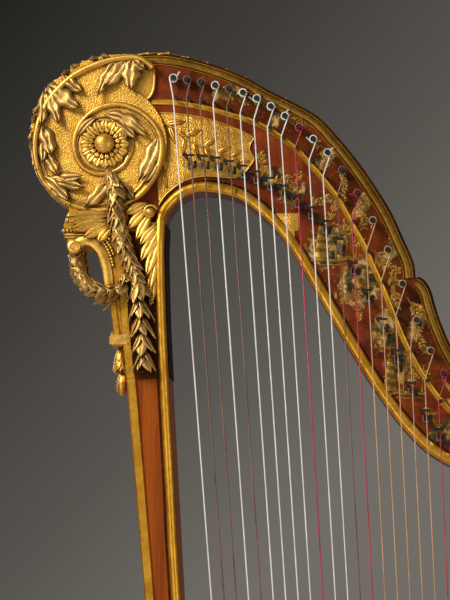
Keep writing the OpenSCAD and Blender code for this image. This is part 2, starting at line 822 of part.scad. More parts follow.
// A rod: from its collar under the lever up to its collar in the scroll
collar_r = 2.4;
collar_h = 4;
collar_drop = lever_h / 2 + 0.8 + collar_h;
module rod(n) {
    color(steel) in_frame() in_rods() translate([0, hub_y(n) - neck_y, 0]) {
        translate([0, 0, -collar_drop]) cylinder(h = rod_length + collar_drop, r = rod_r, $fn = 24);
        translate([0, 0, -collar_drop]) cylinder(h = collar_h, r = collar_r, $fn = 24);
        translate([0, 0, rod_length - collar_h]) cylinder(h = collar_h, r = collar_r, $fn = 24);
    }
}

base_box();
base_bottom();
feet();
notch_rail();
pedal_shaft();
pedal_springs();
column();
column_mouldings();
column_foot();
capital();
scroll();
scroll_mouldings();
rosettes();
garlands();
acanthus_leaves();
neck();
neck_mouldings();
neck_cover();
cover_screws();
tuning_pins();
nut_pins();
sillets();
hook_plates();
strings_white();
strings_red();
strings_dark();
strings_tan();
soundboard();
board_edging();
string_bar();
string_buttons();
back_staves();
ribs();
shoulder_block();
for (n = [0:6]) pedal(n);
for (n = [0:6]) rod(n);
for (n = [0:6]) hooks(pedal_notes[n]);
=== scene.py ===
# Looks of a single-action pedal harp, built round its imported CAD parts. Lengths in the
# helpers are millimetres, in the drawing's own frame; place() turns them into metres.
import json
import math
import random

import bmesh
import bpy
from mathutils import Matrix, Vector


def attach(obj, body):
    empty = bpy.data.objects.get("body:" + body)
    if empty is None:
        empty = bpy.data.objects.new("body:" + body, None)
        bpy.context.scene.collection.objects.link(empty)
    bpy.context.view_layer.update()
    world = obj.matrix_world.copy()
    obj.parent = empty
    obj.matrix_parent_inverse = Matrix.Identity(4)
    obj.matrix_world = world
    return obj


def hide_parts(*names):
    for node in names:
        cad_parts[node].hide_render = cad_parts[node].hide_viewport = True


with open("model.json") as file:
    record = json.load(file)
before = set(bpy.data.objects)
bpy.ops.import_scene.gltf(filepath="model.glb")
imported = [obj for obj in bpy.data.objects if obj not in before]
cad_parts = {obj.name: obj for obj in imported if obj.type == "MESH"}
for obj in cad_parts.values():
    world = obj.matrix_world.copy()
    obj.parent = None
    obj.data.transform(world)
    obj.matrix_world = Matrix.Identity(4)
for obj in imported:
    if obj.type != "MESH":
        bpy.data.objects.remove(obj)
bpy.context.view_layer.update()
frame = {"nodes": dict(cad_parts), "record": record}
nodes = frame["nodes"]
# How far the CAD parts are moved along X, from the drawing's own frame
SHIFT = 5.4
# The neck's middle plane lies behind the harp's
NECK_Y = 12.0
FRONT, BACK = -1, 1


def place(p):
    return ((p[0] + SHIFT) / 1000, p[1] / 1000, p[2] / 1000)


# ---- Curves ----

def along(points, u):
    """Value at u on a smooth curve through points or numbers that are one step apart."""
    n = len(points) - 1
    i = min(int(math.floor(u)), n - 1)
    a, b, c, d = (points[max(i - 1, 0)], points[i], points[i + 1], points[min(i + 2, n)])
    t = u - i
    if isinstance(b, (int, float)):
        return 0.5 * (2 * b + (c - a) * t + (2 * a - 5 * b + 4 * c - d) * t * t
                      + (3 * b - a - 3 * c + d) * t ** 3)
    return [along([a[k], b[k], c[k], d[k]], 1 + t) for k in range(len(b))]


def smooth(points, steps=6):
    """Smooth curve through the points, with so many steps between two of them."""
    return [along(points, k / steps) for k in range((len(points) - 1) * steps + 1)]


def spaced(path, step):
    """The path again, with points so far apart, each with its direction."""
    total = [0.0]
    for a, b in zip(path, path[1:]):
        total.append(total[-1] + (Vector(b) - Vector(a)).length)
    count = max(1, round(total[-1] / step))
    found, i = [], 0
    for k in range(count + 1):
        s = total[-1] * k / count
        while i < len(path) - 2 and total[i + 1] < s:
            i += 1
        a, b = Vector(path[i]), Vector(path[i + 1])
        t = (s - total[i]) / max(total[i + 1] - total[i], 1e-9)
        found.append((a.lerp(b, t), (b - a).normalized()))
    return found


def beside(path, distance):
    """A curve in the plane of the neck moved sideways; left of its direction is positive."""
    n = len(path) - 1
    moved = []
    for i, p in enumerate(path):
        a, b = path[max(i - 1, 0)], path[min(i + 1, n)]
        d = Vector((b[0] - a[0], b[1] - a[1])).normalized()
        moved.append((p[0] - distance * d.y, p[1] + distance * d.x))
    return moved


def on_face(path, y):
    """A curve of [X, Z] points laid at a depth Y."""
    return [(p[0], y, p[1]) for p in path]


def circle(count):
    """Cosine and sine of evenly spaced angles, once round."""
    angles = [2 * math.pi * k / count for k in range(count)]
    return [(math.cos(a), math.sin(a)) for a in angles]


# ---- Solids gathered into one piece ----

class Solids:
    """Vertices and faces of one piece, in millimetres."""

    def __init__(self):
        self.points, self.faces = [], []

    def add(self, points, faces):
        n = len(self.points)
        self.points += [tuple(p) for p in points]
        self.faces += [tuple(n + i for i in f) for f in faces]

    def rows(self, rows, ends=True):
        """Closed skin over rows of points, each row a closed ring."""
        m = len(rows[0])
        faces = [(i * m + k, i * m + (k + 1) % m, (i + 1) * m + (k + 1) % m, (i + 1) * m + k)
                 for i in range(len(rows) - 1) for k in range(m)]
        if ends:
            faces += [tuple(range(m)), tuple((len(rows) - 1) * m + k for k in range(m - 1, -1, -1))]
        self.add([p for row in rows for p in row], faces)

    def sweep(self, path, profile, out=(0, -1, 0), size=None, closed=False):
        """A closed profile of (sideways, outwards) points swept along a path."""
        rows, n = [], len(path)
        out = Vector(out)
        for i in range(n):
            a, b = path[max(i - 1, 0)], path[min(i + 1, n - 1)]
            if closed:
                a, b = path[i - 1], path[(i + 1) % n]
            way = (Vector(b) - Vector(a)).normalized()
            side = way.cross(out)
            if side.length < 0.05:
                side = way.cross(Vector((0.3, 0.2, 1)))
            side.normalize()
            up = side.cross(way)
            s = size(i / (n - 1)) if size else 1.0
            rows.append([Vector(path[i]) + s * q[0] * side + s * q[1] * up for q in profile])
        if closed:
            rows.append(rows[0])
        self.rows(rows, ends=not closed)

    def tube(self, path, r, sides):
        self.sweep(path, [(r * c, r * s) for c, s in circle(sides)])

    def ball(self, centre, radii, sides, rings, x=(1, 0, 0), z=(0, 0, 1)):
        """Sphere of one radius, or ellipsoid with its first radius along x, the third along z."""
        if isinstance(radii, (int, float)):
            radii = (radii, radii, radii)
        x, z = Vector(x).normalized(), Vector(z).normalized()
        y = z.cross(x)
        rows = []
        for i in range(rings + 1):
            # The first and the last ring lie a little inside the poles
            a = math.pi * (0.03 + 0.94 * i / rings)
            rows.append([Vector(centre) - radii[2] * math.cos(a) * z
                         + math.sin(a) * (radii[0] * c * x + radii[1] * s * y)
                         for c, s in circle(sides)])
        self.rows(rows)

    def turned(self, centre, axis, profile, sides):
        """Turned solid: the profile is (radius, distance along the axis) points."""
        axis = Vector(axis).normalized()
        x = axis.cross(Vector((0.1, 0.3, 1))).normalized()
        y = axis.cross(x)
        self.rows([[Vector(centre) + h * axis + r * (c * x + s * y) for c, s in circle(sides)]
                   for r, h in profile])

    def leaf(self, root, way, out, length, width, lift=2.0, curl=0.0, lobes=0, depth=0.3,
             turn=0.0, keel=0.25, thick=0.9, blunt=0.8, small=False):
        """A carved leaf: crowned blade with a midrib, lobed edge, bent aside and curling out."""
        way, out = Vector(way).normalized(), Vector(out).normalized()
        side = way.cross(out).normalized()
        out = side.cross(way)
        steps = 5 if small else 14 if lobes else 9
        across = 2 if small else 4
        top, low = [], []
        for i in range(steps + 1):
            u = i / steps
            a = turn * u
            here = Vector(root) + length * u * (way * math.cos(a / 2) + side * math.sin(a / 2))
            cross = side * math.cos(a) - way * math.sin(a)
            w = 0.5 * width * math.sin(math.pi * min(u ** blunt * 0.985 + 0.015, 1.0))
            if lobes:
                w *= 1 - depth * (0.5 + 0.5 * math.cos(2 * math.pi * lobes * u))
            rise = curl * u ** 3
            for k in range(-across, across + 1):
                v = k / across
                h = lift * math.sin(math.pi * (0.1 + 0.8 * u)) * (1 - v * v)
                h -= lift * keel * (1 - min(abs(v) * (2 if small else 3), 1))
                if lobes:
                    h *= 1 + 0.16 * math.cos(2 * math.pi * (lobes * u + 0.35 * abs(v)))
                sweep_back = -0.12 * length * abs(v) * (1 if lobes else 0.3) / max(lobes, 1)
                q = here + w * v * cross + sweep_back * way
                top.append(q + (h + rise) * out)
                low.append(q + (rise - thick * (1 - 0.6 * abs(v))) * out)
        m = 2 * across + 1
        n = (steps + 1) * m
        faces = []
        for i in range(steps):
            for k in range(m - 1):
                p = i * m + k
                faces.append((p, p + 1, p + m + 1, p + m))
                faces.append((n + p, n + p + m, n + p + m + 1, n + p + 1))
            left, right = i * m, i * m + m - 1
            faces.append((left, left + m, n + left + m, n + left))
            faces.append((right, n + right, n + right + m, right + m))
        end = steps * m
        for k in range(m - 1):
            faces.append((k, n + k, n + k + 1, k + 1))
            faces.append((end + k, end + k + 1, n + end + k + 1, n + end + k))
        self.add(top + low, faces)

    def done(self, name, material, slot, replaces=(), body="frame", flat=False, angle=50):
        mesh = bpy.data.meshes.new(name)
        mesh.from_pydata([place(p) for p in self.points], [], self.faces)
        work = bmesh.new()
        work.from_mesh(mesh)
        bmesh.ops.recalc_face_normals(work, faces=work.faces)
        work.to_mesh(mesh)
        work.free()
        mesh.materials.append(material)
        if not flat:
            mesh.shade_smooth()
            mesh.set_sharp_from_angle(angle=math.radians(angle))
        piece = bpy.data.objects.new(name, mesh)
        bpy.context.scene.collection.objects.link(piece)
        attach(piece, body)
        if replaces:
            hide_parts(*replaces)


def rounded(width, height, sides=8, sunk=1.0):
    """Half-round profile of a moulding that stands on a face, sunk a little into it."""
    arc = [(-0.5 * width * math.cos(math.pi * k / sides), height * math.sin(math.pi * k / sides))
           for k in range(sides + 1)]
    return [(-0.5 * width, -sunk)] + arc + [(0.5 * width, -sunk)]


def face_y(side, half):
    """Y of a face that far from the neck's middle plane, at the front or at the back."""
    return NECK_Y + side * half


# ---- Materials ----

class Nodes:
    """Short hand for building the node tree of a material or of the world."""

    def __init__(self, owner, shader="Principled BSDF", coordinates="Object"):
        self.owner = owner
        owner.use_nodes = True
        self.tree = owner.node_tree
        self.shader = self.tree.nodes[shader]
        self.coordinates = self.new("TexCoord").outputs[coordinates]

    def feed(self, socket, value):
        """Link an output to a socket, or set the socket to a number, vector or colour."""
        if isinstance(value, bpy.types.NodeSocket):
            self.tree.links.new(value, socket)
        elif socket.type == "RGBA":
            socket.default_value = (*value, 1)
        else:
            socket.default_value = value

    def new(self, kind, inputs=None, **settings):
        node = self.tree.nodes.new("ShaderNode" + kind)
        for name, value in settings.items():
            setattr(node, name, value)
        for name, value in (inputs or {}).items():
            self.feed(node.inputs[name], value)
        return node

    def mapped(self, scale, turn=(0, 0, 0)):
        return self.new("Mapping", {"Vector": self.coordinates, "Scale": scale,
                                    "Rotation": turn}).outputs["Vector"]

    def noise(self, scale, detail, rough, vector=None, distortion=0.0):
        return self.new("TexNoise", {
            "Vector": vector or self.coordinates, "Scale": scale, "Detail": detail,
            "Roughness": rough, "Distortion": distortion}).outputs["Fac"]

    def cells(self, scale, feature="F1"):
        return self.new("TexVoronoi", {"Vector": self.coordinates, "Scale": scale},
                        feature=feature).outputs["Distance"]

    def openness(self, distance):
        """How far the surface is free of others: 0 in a corner and 1 in the open."""
        return self.new("AmbientOcclusion", {"Distance": distance}, samples=8).outputs["AO"]

    def range(self, value, low, high, to_low=0.0, to_high=1.0):
        return self.new("MapRange", {"Value": value, "From Min": low, "From Max": high,
                                     "To Min": to_low, "To Max": to_high}).outputs["Result"]

    def math(self, how, a, b):
        return self.new("Math", {0: a, 1: b}, operation=how).outputs[0]

    def ramp(self, value, stops):
        node = self.new("ValToRGB", {"Fac": value})
        elements = node.color_ramp.elements
        for i, (spot, color) in enumerate(stops):
            stop = elements[i] if i < 2 else elements.new(spot)
            stop.position = spot
            stop.color = (*color, 1)
        return node.outputs["Color"]

    def mix(self, share, a, b):
        node = self.new("Mix", {"Factor": share}, data_type="RGBA")
        for socket, value in zip([s for s in node.inputs if s.type == "RGBA"], (a, b)):
            self.feed(socket, value)
        return [s for s in node.outputs if s.type == "RGBA"][0]

    def set(self, **values):
        """Set or link the shader's own inputs, such as Base_Color."""
        for name, value in values.items():
            self.feed(self.shader.inputs[name.replace("_", " ")], value)

    def bump(self, *heights):
        """Bumps one over another: (height, strength, distance in metres)."""
        normal = None
        for height, strength, distance in heights:
            below = {"Normal": normal} if normal else {}
            normal = self.new("Bump", {"Height": height, "Strength": strength,
                                       "Distance": distance, **below}).outputs["Normal"]
        self.set(Normal=normal)


def material(name):
    return Nodes(bpy.data.materials.new(name))


def gold(name, bright, shade, dirt_and_shade, wear=0.66, roughness=(0.3, 0.5), punched=0.0):
    """Gilding over red bole, worn through in patches; dirt and painted shade darken the hollows."""
    m = material(name)
    patches = m.noise(38, 5, 0.65)
    fine = m.noise(260, 3, 0.6)
    leaf = m.ramp(patches, [(0.3, shade), (0.62, bright)])
    worn = m.mix(m.range(m.noise(120, 5, 0.7), wear, wear + 0.12), leaf, (0.23, 0.07, 0.03))
    # Ambient occlusion finds the hollows, which get the dark colour and less metal: dirt, and
    # painted shade
    dirt_and_shade_share = m.range(m.openness(0.006), 0.25, 0.85)
    m.set(Base_Color=m.mix(dirt_and_shade_share, dirt_and_shade, worn), Roughness=m.range(fine, 0.3, 0.7, *roughness),
          Metallic=m.range(dirt_and_shade_share, 0.0, 0.7, 0.3, 0.86))
    bumps = [(fine, 0.2, 0.0003), (patches, 0.2, 0.0006)]
    if punched:
        bumps.append((m.range(m.cells(640), 0.1, 0.6), punched, 0.0007))
    m.bump(*bumps)
    return m.owner


def painted_places(m, places):
    """How near the surface is to the middle of the nearest of some ellipses.

    An ellipse is (X, Z, half length, half height, turn) in the drawing's frame."""
    nearest = None
    for x, z, long, high, turn in places:
        c, s = math.cos(math.radians(turn)), math.sin(math.radians(turn))
        centre = ((x + SHIFT) * c + z * s, -(x + SHIFT) * s + z * c)
        shrunk = m.new("Mapping", {
            "Vector": m.mapped((1, 1, 1), (0, math.radians(turn), 0)),
            "Scale": (1000 / long, 0, 1000 / high),
            "Location": (-centre[0] / long, 0, -centre[1] / high)}).outputs["Vector"]
        ball = m.new("TexGradient", {"Vector": shrunk}, gradient_type="SPHERICAL")
        here = ball.outputs["Fac"]
        nearest = m.math("MAXIMUM", nearest, here) if nearest else here
    return nearest


def lacquer(name, dark, light, coat=0.2, painted=(), shine=0.25):
    """Red-brown varnish over a flamed ground, with painted landscapes round some places."""
    m = material(name)
    clouds = m.noise(16, 6, 0.62, m.mapped((1, 1, 1.6)), 0.6)
    base = m.ramp(clouds, [(0.32, dark), (0.68, light)])
    base = m.mix(m.range(m.noise(420, 2, 0.5), 0.64, 0.76), base, (0.30, 0.12, 0.02))
    if painted:
        brush = m.noise(150, 6, 0.72, None, 0.8)
        near = m.math("MULTIPLY", painted_places(m, painted), 0.75)
        tones = m.ramp(m.noise(95, 4, 0.6, None, 0.5), [
            (0.36, (0.035, 0.016, 0.006)), (0.44, (0.05, 0.06, 0.018)), (0.5, (0.26, 0.12, 0.02)),
            (0.56, (0.52, 0.29, 0.06)), (0.62, (0.62, 0.46, 0.22)), (0.68, (0.24, 0.11, 0.02))])
        base = m.mix(m.range(m.math("ADD", near, brush), 0.80, 0.90), base, tones)
    m.set(Base_Color=base, Roughness=m.range(m.noise(60, 4, 0.6), 0.3, 0.7, 0.26, 0.44),
          Coat_Weight=coat, Coat_Roughness=0.16, Specular_IOR_Level=shine)
    m.bump((m.cells(900, "DISTANCE_TO_EDGE"), 0.06, 0.0003), (clouds, 0.12, 0.0006))
    return m.owner


def timber(name, dark, light, scale, stretch=(1, 1, 0.05), turn=(0, 0, 0),
           roughness=(0.3, 0.5), coat=0.0):
    """Straight-grained wood with pores, the grain along the longest mapped axis."""
    m = material(name)
    vector = m.mapped(stretch, turn)
    grain = m.noise(scale, 6, 0.68, vector, 1.2)
    pores = m.noise(scale * 7, 2, 0.5, vector)
    base = m.ramp(grain, [(0.34, dark), (0.66, light)])
    base = m.mix(m.range(m.noise(9, 3, 0.5), 0.35, 0.7, 0.0, 0.5), base, dark)
    base = m.mix(m.range(pores, 0.6, 0.72, 0.0, 0.55), base, tuple(0.4 * c for c in dark))
    m.set(Base_Color=base, Roughness=m.range(grain, 0.3, 0.7, *roughness), Coat_Weight=coat,
          Coat_Roughness=0.16, Specular_IOR_Level=0.2)
    m.bump((grain, 0.12, 0.0006), (pores, 0.1, 0.0003))
    return m.owner


def metal(name, dark, light, roughness, rust=(0.10, 0.05, 0.03), share=0.62, scale=90):
    """Filed metal, with stains that are rougher than the rest."""
    m = material(name)
    stain = m.range(m.noise(scale, 5, 0.7), share, share + 0.12)
    tone = m.ramp(m.noise(scale * 3, 3, 0.6), [(0.3, dark), (0.7, light)])
    m.set(Base_Color=m.mix(stain, tone, rust), Roughness=m.range(stain, 0, 1, *roughness),
          Metallic=m.range(stain, 0, 1, 0.95, 0.4))
    m.bump((m.noise(700, 3, 0.6, m.mapped((1, 1, 0.2))), 0.2, 0.0003))
    return m.owner


def gut(name, dark, light, turns=1500, clear=0.0):
    """String: twisted, a little worn and dusty."""
    m = material(name)
    wave = m.new("TexWave", {"Vector": m.coordinates, "Scale": turns, "Distortion": 1.5},
                 bands_direction="Z")
    tone = m.ramp(m.noise(70, 4, 0.6, m.mapped((1, 1, 0.4))), [(0.3, dark), (0.65, light)])
    m.set(Base_Color=tone, Roughness=m.range(m.noise(300, 2, 0.5), 0.3, 0.7, 0.32, 0.55),
          Subsurface_Weight=clear, Subsurface_Scale=0.002)
    m.bump((wave.outputs["Fac"], 0.15, 0.0002))
    return m.owner


def paint(name, dark, light):
    """Old paint: brush marks, fading and a fine crackle."""
    m = material(name)
    m.set(Base_Color=m.ramp(m.noise(90, 5, 0.65), [(0.3, dark), (0.68, light)]),
          Roughness=m.range(m.noise(240, 2, 0.5), 0.3, 0.7, 0.38, 0.6))
    m.bump((m.noise(700, 3, 0.6), 0.2, 0.0002),
           (m.cells(650, "DISTANCE_TO_EDGE"), 0.1, 0.0002))
    return m.owner


GOLD = gold("gold", (0.98, 0.57, 0.11), (0.66, 0.34, 0.045), (0.10, 0.045, 0.012))
GOLD_GROUND = gold("gold_punched", (0.84, 0.46, 0.07), (0.50, 0.25, 0.03), (0.10, 0.045, 0.012),
                   wear=0.7, roughness=(0.36, 0.58), punched=0.4)
GOLD_OLD = gold("gold_tarnished", (0.68, 0.41, 0.12), (0.34, 0.19, 0.05), (0.04, 0.02, 0.01),
                roughness=(0.38, 0.6))
GOLD_LINE = gold("gold_moulding", (0.86, 0.43, 0.04), (0.58, 0.26, 0.015), (0.12, 0.055, 0.012),
                 wear=0.72, roughness=(0.3, 0.48))
GOLD_BROWN = gold("gold_varnished", (0.34, 0.175, 0.022), (0.20, 0.085, 0.008),
                  (0.04, 0.016, 0.005))
GOLD_PAINT = gold("gold_paint", (0.52, 0.29, 0.05), (0.26, 0.12, 0.02), (0.08, 0.03, 0.008),
                  wear=0.56, roughness=(0.4, 0.6))
# Where the neck bears landscapes: X, Z, half length, half height, turn
PAINTED = ((-62, 1424, 44, 34, 40), (-30, 1388, 50, 40, 55), (-96, 1478, 30, 18, 35),
           (-118, 1497, 22, 16, 30), (18, 1310, 46, 32, 50), (-2, 1344, 44, 30, 60),
           (60, 1242, 46, 20, 30), (120, 1220, 60, 16, 0), (200, 1232, 60, 16, -12),
           (290, 1252, 50, 20, -12))
RED = lacquer("red_lacquer", (0.07, 0.007, 0.001), (0.30, 0.048, 0.002), painted=PAINTED)
RED_BASE = lacquer("red_lacquer_base", (0.055, 0.007, 0.001), (0.27, 0.052, 0.003), painted=(
    (-150, 66, 40, 20, 0), (-60, 62, 46, 18, 0), (25, 66, 30, 16, 0)))
# Near-black matt lacquer: the neck's rims and the staves' stringing, and the plates of painted
# shade on the capital and the column
DARK_LACQUER_AND_SHADE = lacquer("dark_lacquer_and_painted_shade", (0.016, 0.005, 0.002), (0.07, 0.017, 0.003), 0.0, shine=0.05)
DARK_FIELD = lacquer("dark_field", (0.035, 0.006, 0.001), (0.19, 0.036, 0.003), 0.2, (
    (-150, 1587, 60, 12, 20), (-105, 1560, 40, 12, 35), (-60, 1520, 40, 13, 50),
    (-25, 1470, 36, 12, 60), (0, 1420, 40, 14, 68), (28, 1350, 44, 14, 65),
    (70, 1275, 50, 14, 40), (140, 1254, 60, 12, -2), (230, 1268, 70, 12, -10)), 0.15)
VARNISH = timber("varnished_wood", (0.17, 0.025, 0.0005), (0.50, 0.115, 0.001), 34,
                 turn=(0, 0.05, 0), roughness=(0.32, 0.48), coat=0.05)
STAVES = timber("varnished_staves", (0.13, 0.028, 0.003), (0.34, 0.10, 0.01), 34,
                turn=(0, -0.375, 0), roughness=(0.3, 0.46), coat=0.2)
WALNUT = timber("walnut", (0.055, 0.028, 0.014), (0.17, 0.09, 0.045), 40, (1, 1, 0.08))
SPRUCE = timber("spruce", (0.34, 0.19, 0.065), (0.56, 0.35, 0.14), 110, (1, 0.03, 1),
                roughness=(0.34, 0.5), coat=0.25)
IRON = metal("blackened_iron", (0.045, 0.042, 0.040), (0.12, 0.11, 0.10), (0.34, 0.7))
STEEL = metal("filed_steel", (0.42, 0.41, 0.40), (0.62, 0.61, 0.60), (0.26, 0.5), share=0.66)
BRASS = metal("aged_brass", (0.34, 0.20, 0.055), (0.62, 0.41, 0.14), (0.28, 0.55),
              rust=(0.12, 0.07, 0.025), share=0.56, scale=45)
BONE = gut("bone", (0.62, 0.55, 0.40), (0.84, 0.79, 0.66), turns=40, clear=0.1)
GUT_WHITE = gut("gut_white", (0.66, 0.63, 0.56), (0.88, 0.86, 0.80))
GUT_RED = gut("gut_red", (0.34, 0.015, 0.035), (0.62, 0.04, 0.09))
GUT_DARK = gut("silk_dark", (0.10, 0.045, 0.025), (0.24, 0.13, 0.08))
GUT_TAN = gut("gut_tan", (0.42, 0.22, 0.10), (0.66, 0.40, 0.20), clear=0.1)

PAINT_GREEN = paint("painted_green", (0.035, 0.06, 0.015), (0.12, 0.16, 0.05))
PAINT_ROSE = paint("painted_rose", (0.34, 0.06, 0.045), (0.70, 0.36, 0.26))

SLOT_LOOKS = {"gilding": GOLD, "red_lacquer": RED, "varnish": VARNISH, "walnut": WALNUT,
              "spruce": SPRUCE, "iron": IRON, "steel": STEEL, "brass": BRASS, "bone": BONE,
              "gut_white": GUT_WHITE, "gut_red": GUT_RED, "gut_dark": GUT_DARK,
              "gut_tan": GUT_TAN}
NODE_LOOKS = {"base_box": RED_BASE, "back_staves": STAVES, "shoulder_block": STAVES,
              "scroll": GOLD_GROUND, "capital": GOLD_LINE}
# Bevel of the plain CAD parts that stay in view, in millimetres
SOFT_EDGES = {"base_box": 2.5, "base_bottom": 2.0, "scroll": 5.0, "capital": 2.0, "column": 1.5,
              "column_foot": 1.5, "neck_cover": 0.8, "shoulder_block": 2.5, "string_bar": 0.8}
for part in frame["record"]["subparts"]:
    node = nodes[part["node"]]
    look = NODE_LOOKS.get(part["node"], SLOT_LOOKS[part["material_slot"]])
    node.data.materials.clear()
    node.data.materials.append(look)
    if part["node"] in SOFT_EDGES:
        bevel = node.modifiers.new("bevel", "BEVEL")
        bevel.width = SOFT_EDGES[part["node"]] / 1000
        bevel.segments = 3
        bevel.angle_limit = math.radians(40)

# ---- The neck's curves (X, Z), as in the CAD drawing ----

NECK_TOP_A = [(-262, 1622), (-228, 1623), (-190, 1615), (-150, 1600), (-122, 1584), (-97, 1571),
              (-72, 1556), (-49, 1531), (-31, 1508), (-13, 1481), (1, 1457), (12, 1432),
              (22, 1408), (24, 1392)]
NECK_TOP_B = [(27, 1393), (33, 1389), (39, 1379), (44, 1361), (50, 1343), (60, 1320), (75, 1296),
              (95, 1278), (125, 1267), (165, 1267), (210, 1274), (255, 1283), (298, 1288),
              (332, 1279), (347, 1256), (348, 1230), (346.4, 1202.7)]
NECK_LOW = [(-225, 1449), (-223, 1457), (-218, 1465), (-209, 1474), (-199, 1479), (-187, 1481),
            (-172, 1479), (-159, 1476), (-146, 1470), (-130, 1457), (-115, 1442), (-99, 1420),
            (-74, 1377), (-43, 1323), (-16, 1279), (11, 1242), (38, 1216), (75, 1197), (115, 1190),
            (160, 1195), (210, 1206), (255, 1217), (295.2, 1222.9)]
GILT_LINE = [(-240, 1573), (-221, 1573), (-202, 1570), (-183, 1566), (-163, 1560), (-143, 1554),
             (-124, 1545), (-105, 1532), (-90, 1519), (-78, 1505), (-63, 1487), (-50, 1468),
             (-39, 1447), (-28, 1427), (-19, 1406), (-9, 1383), (5, 1347), (15, 1323), (26, 1302),
             (40, 1280), (57, 1259), (80, 1246), (105, 1241), (140, 1242), (190, 1250),
             (240, 1260), (285, 1266)]
# Centre of the scroll, half the thickness of the neck and of the scroll, and the radius of
# the scroll's disc
ROSETTE = (-286, 1529)
HALF_NECK = 17.0
HALF_SCROLL = 24.0
DISC_R = 61.0


def off_scroll(path):
    """The part of a curve that lies outside the scroll's disc."""
    return [p for p in path if p[0] > -262
            and math.hypot(p[0] - ROSETTE[0], p[1] - ROSETTE[1]) > DISC_R]


top_a, top_b = off_scroll(smooth(NECK_TOP_A)), smooth(NECK_TOP_B)
low, line = smooth(NECK_LOW), off_scroll(smooth(GILT_LINE))
bands, borders, rims, field = Solids(), Solids(), Solids(), Solids()
LINE_PROFILE = [(-2.8, -1), (-2.8, 0.9), (-2.2, 1.4), (-1.6, 1.1), (1.6, 1.1), (2.2, 1.4),
                (2.8, 0.9), (2.8, -1)]
for side in (FRONT, BACK):
    face = face_y(side, HALF_NECK)
    out = (0, side, 0)
    for top in (top_a, top_b):
        borders.sweep(on_face(beside(top, -7.0), face), rounded(7.6, 2.5), out)
        bands.sweep(on_face(beside(top, -2.9), face), rounded(1.3, 2.0, 5), out)
        bands.sweep(on_face(beside(top, -11.6), face), rounded(1.1, 1.4, 5), out)
        rims.sweep(on_face(beside(top, -1.3), face), rounded(3.2, 2.2), out)
    bands.sweep(on_face(line, face), LINE_PROFILE, out)
    # Dark field between the upper edge and the gilt line
    over = [p for p in beside(top_a, -12.4)[:-1] if p[0] > -200] + beside(top_b, -12.4)[4:-1]
    rows = []
    for p in spaced([(q[0], 0, q[1]) for q in over], 9):
        near = min(line, key=lambda q: math.hypot(q[0] - p[0].x, q[1] - p[0].z))
        toward = Vector((near[0] - p[0].x, 0, near[1] - p[0].z))
        end = p[0] + toward * max(0.02, (toward.length - 2.9) / toward.length)
        rows.append([Vector((q.x, face + side * h, q.z)) for q, h in (
            (p[0], -0.5), (p[0], 0.15), (end, 0.15), (end, -0.5))])
    field.rows(rows)
    # Moulding on the lower edge, wider on the strings' side
    width = 10.0 if side == FRONT else 6.0
    half = 0.5 * width
    bands.sweep(on_face(beside(low, half + 0.3), face),
                [(-half, -1), (-half, 0.8), (0.4 - half, 1.5), (-0.5 * half, 2.2), (0, 2.4),
                 (0.5 * half, 2.1), (half - 1.6, 1.5), (half - 1.2, 2.3), (half - 0.3, 2.3),
                 (half, 1.6), (half, -1)], out)
    rims.sweep(on_face(beside(low, width + 1.6), face), rounded(1.8, 0.9), out)
bands.done("neck_bands", GOLD_LINE, "gilding", ("neck_mouldings",))
borders.done("neck_borders", GOLD_BROWN, "gilding")
field.done("neck_field", DARK_FIELD, "red_lacquer", flat=True)
rims.done("neck_rims", DARK_LACQUER_AND_SHADE, "red_lacquer")

# ---- Strings, as in the CAD drawing, with their windings on the tuning pins ----

COUNT = 38
# Heights of the nut pins, and the tuning pins' places from them, for every third string
NUT_HEIGHTS = [1576, 1570, 1552, 1523, 1474, 1387, 1289, 1243, 1230, 1233, 1240, 1246, 1251, 1254]
PIN_RISES = [20, 18, 22, 21, 26, 32, 29, 23, 20, 20, 20, 20, 20, 20]
PIN_LEADS = [0, 2, 3, 4, 5, 7, 6, 5, 4, 4, 4, 4, 4, 4]
RED_STRINGS = (9, 13, 19, 23, 30, 37)
DARK_STRINGS = (1, 2, 4, 12, 26, 33)
TAN_FIRST = 14
# Strings wound onto their pins from the left
LEFT_WOUND = (0, 17)
STRING_PLANE = -15.0
PIN_R = 2.6
# Points in one turn of the winding
COIL_POINTS = 14
# How far the soundboard leans from upright, and the way out of it
LEAN = math.radians(21.5)
BOARD_OUT = Vector((-math.cos(LEAN), 0, math.sin(LEAN)))
# Where the string line meets the soundbox's foot
BOX_X, BOX_Z = -134.6, 140


def string_line(i):
    """Pin, nut and foot of a string, and its radius."""
    slope = 0.077 - 0.0022 * i
    r = 1.0 - 0.6 * i / (COUNT - 1)

    def x_at(z):
        return -178.5 + 12.15 * i - slope * (z - 1074)

    nut_z = along(NUT_HEIGHTS, i / 3)
    foot_z = (x_at(0) - BOX_X + BOX_Z * math.tan(LEAN)) / (math.tan(LEAN) + slope)
    nut = Vector((x_at(nut_z), STRING_PLANE, nut_z))
    pin = Vector((nut.x + along(PIN_LEADS, i / 3), STRING_PLANE, nut_z + along(PIN_RISES, i / 3)))
    foot = Vector((x_at(foot_z), 0, foot_z))
    return pin, nut, foot, r


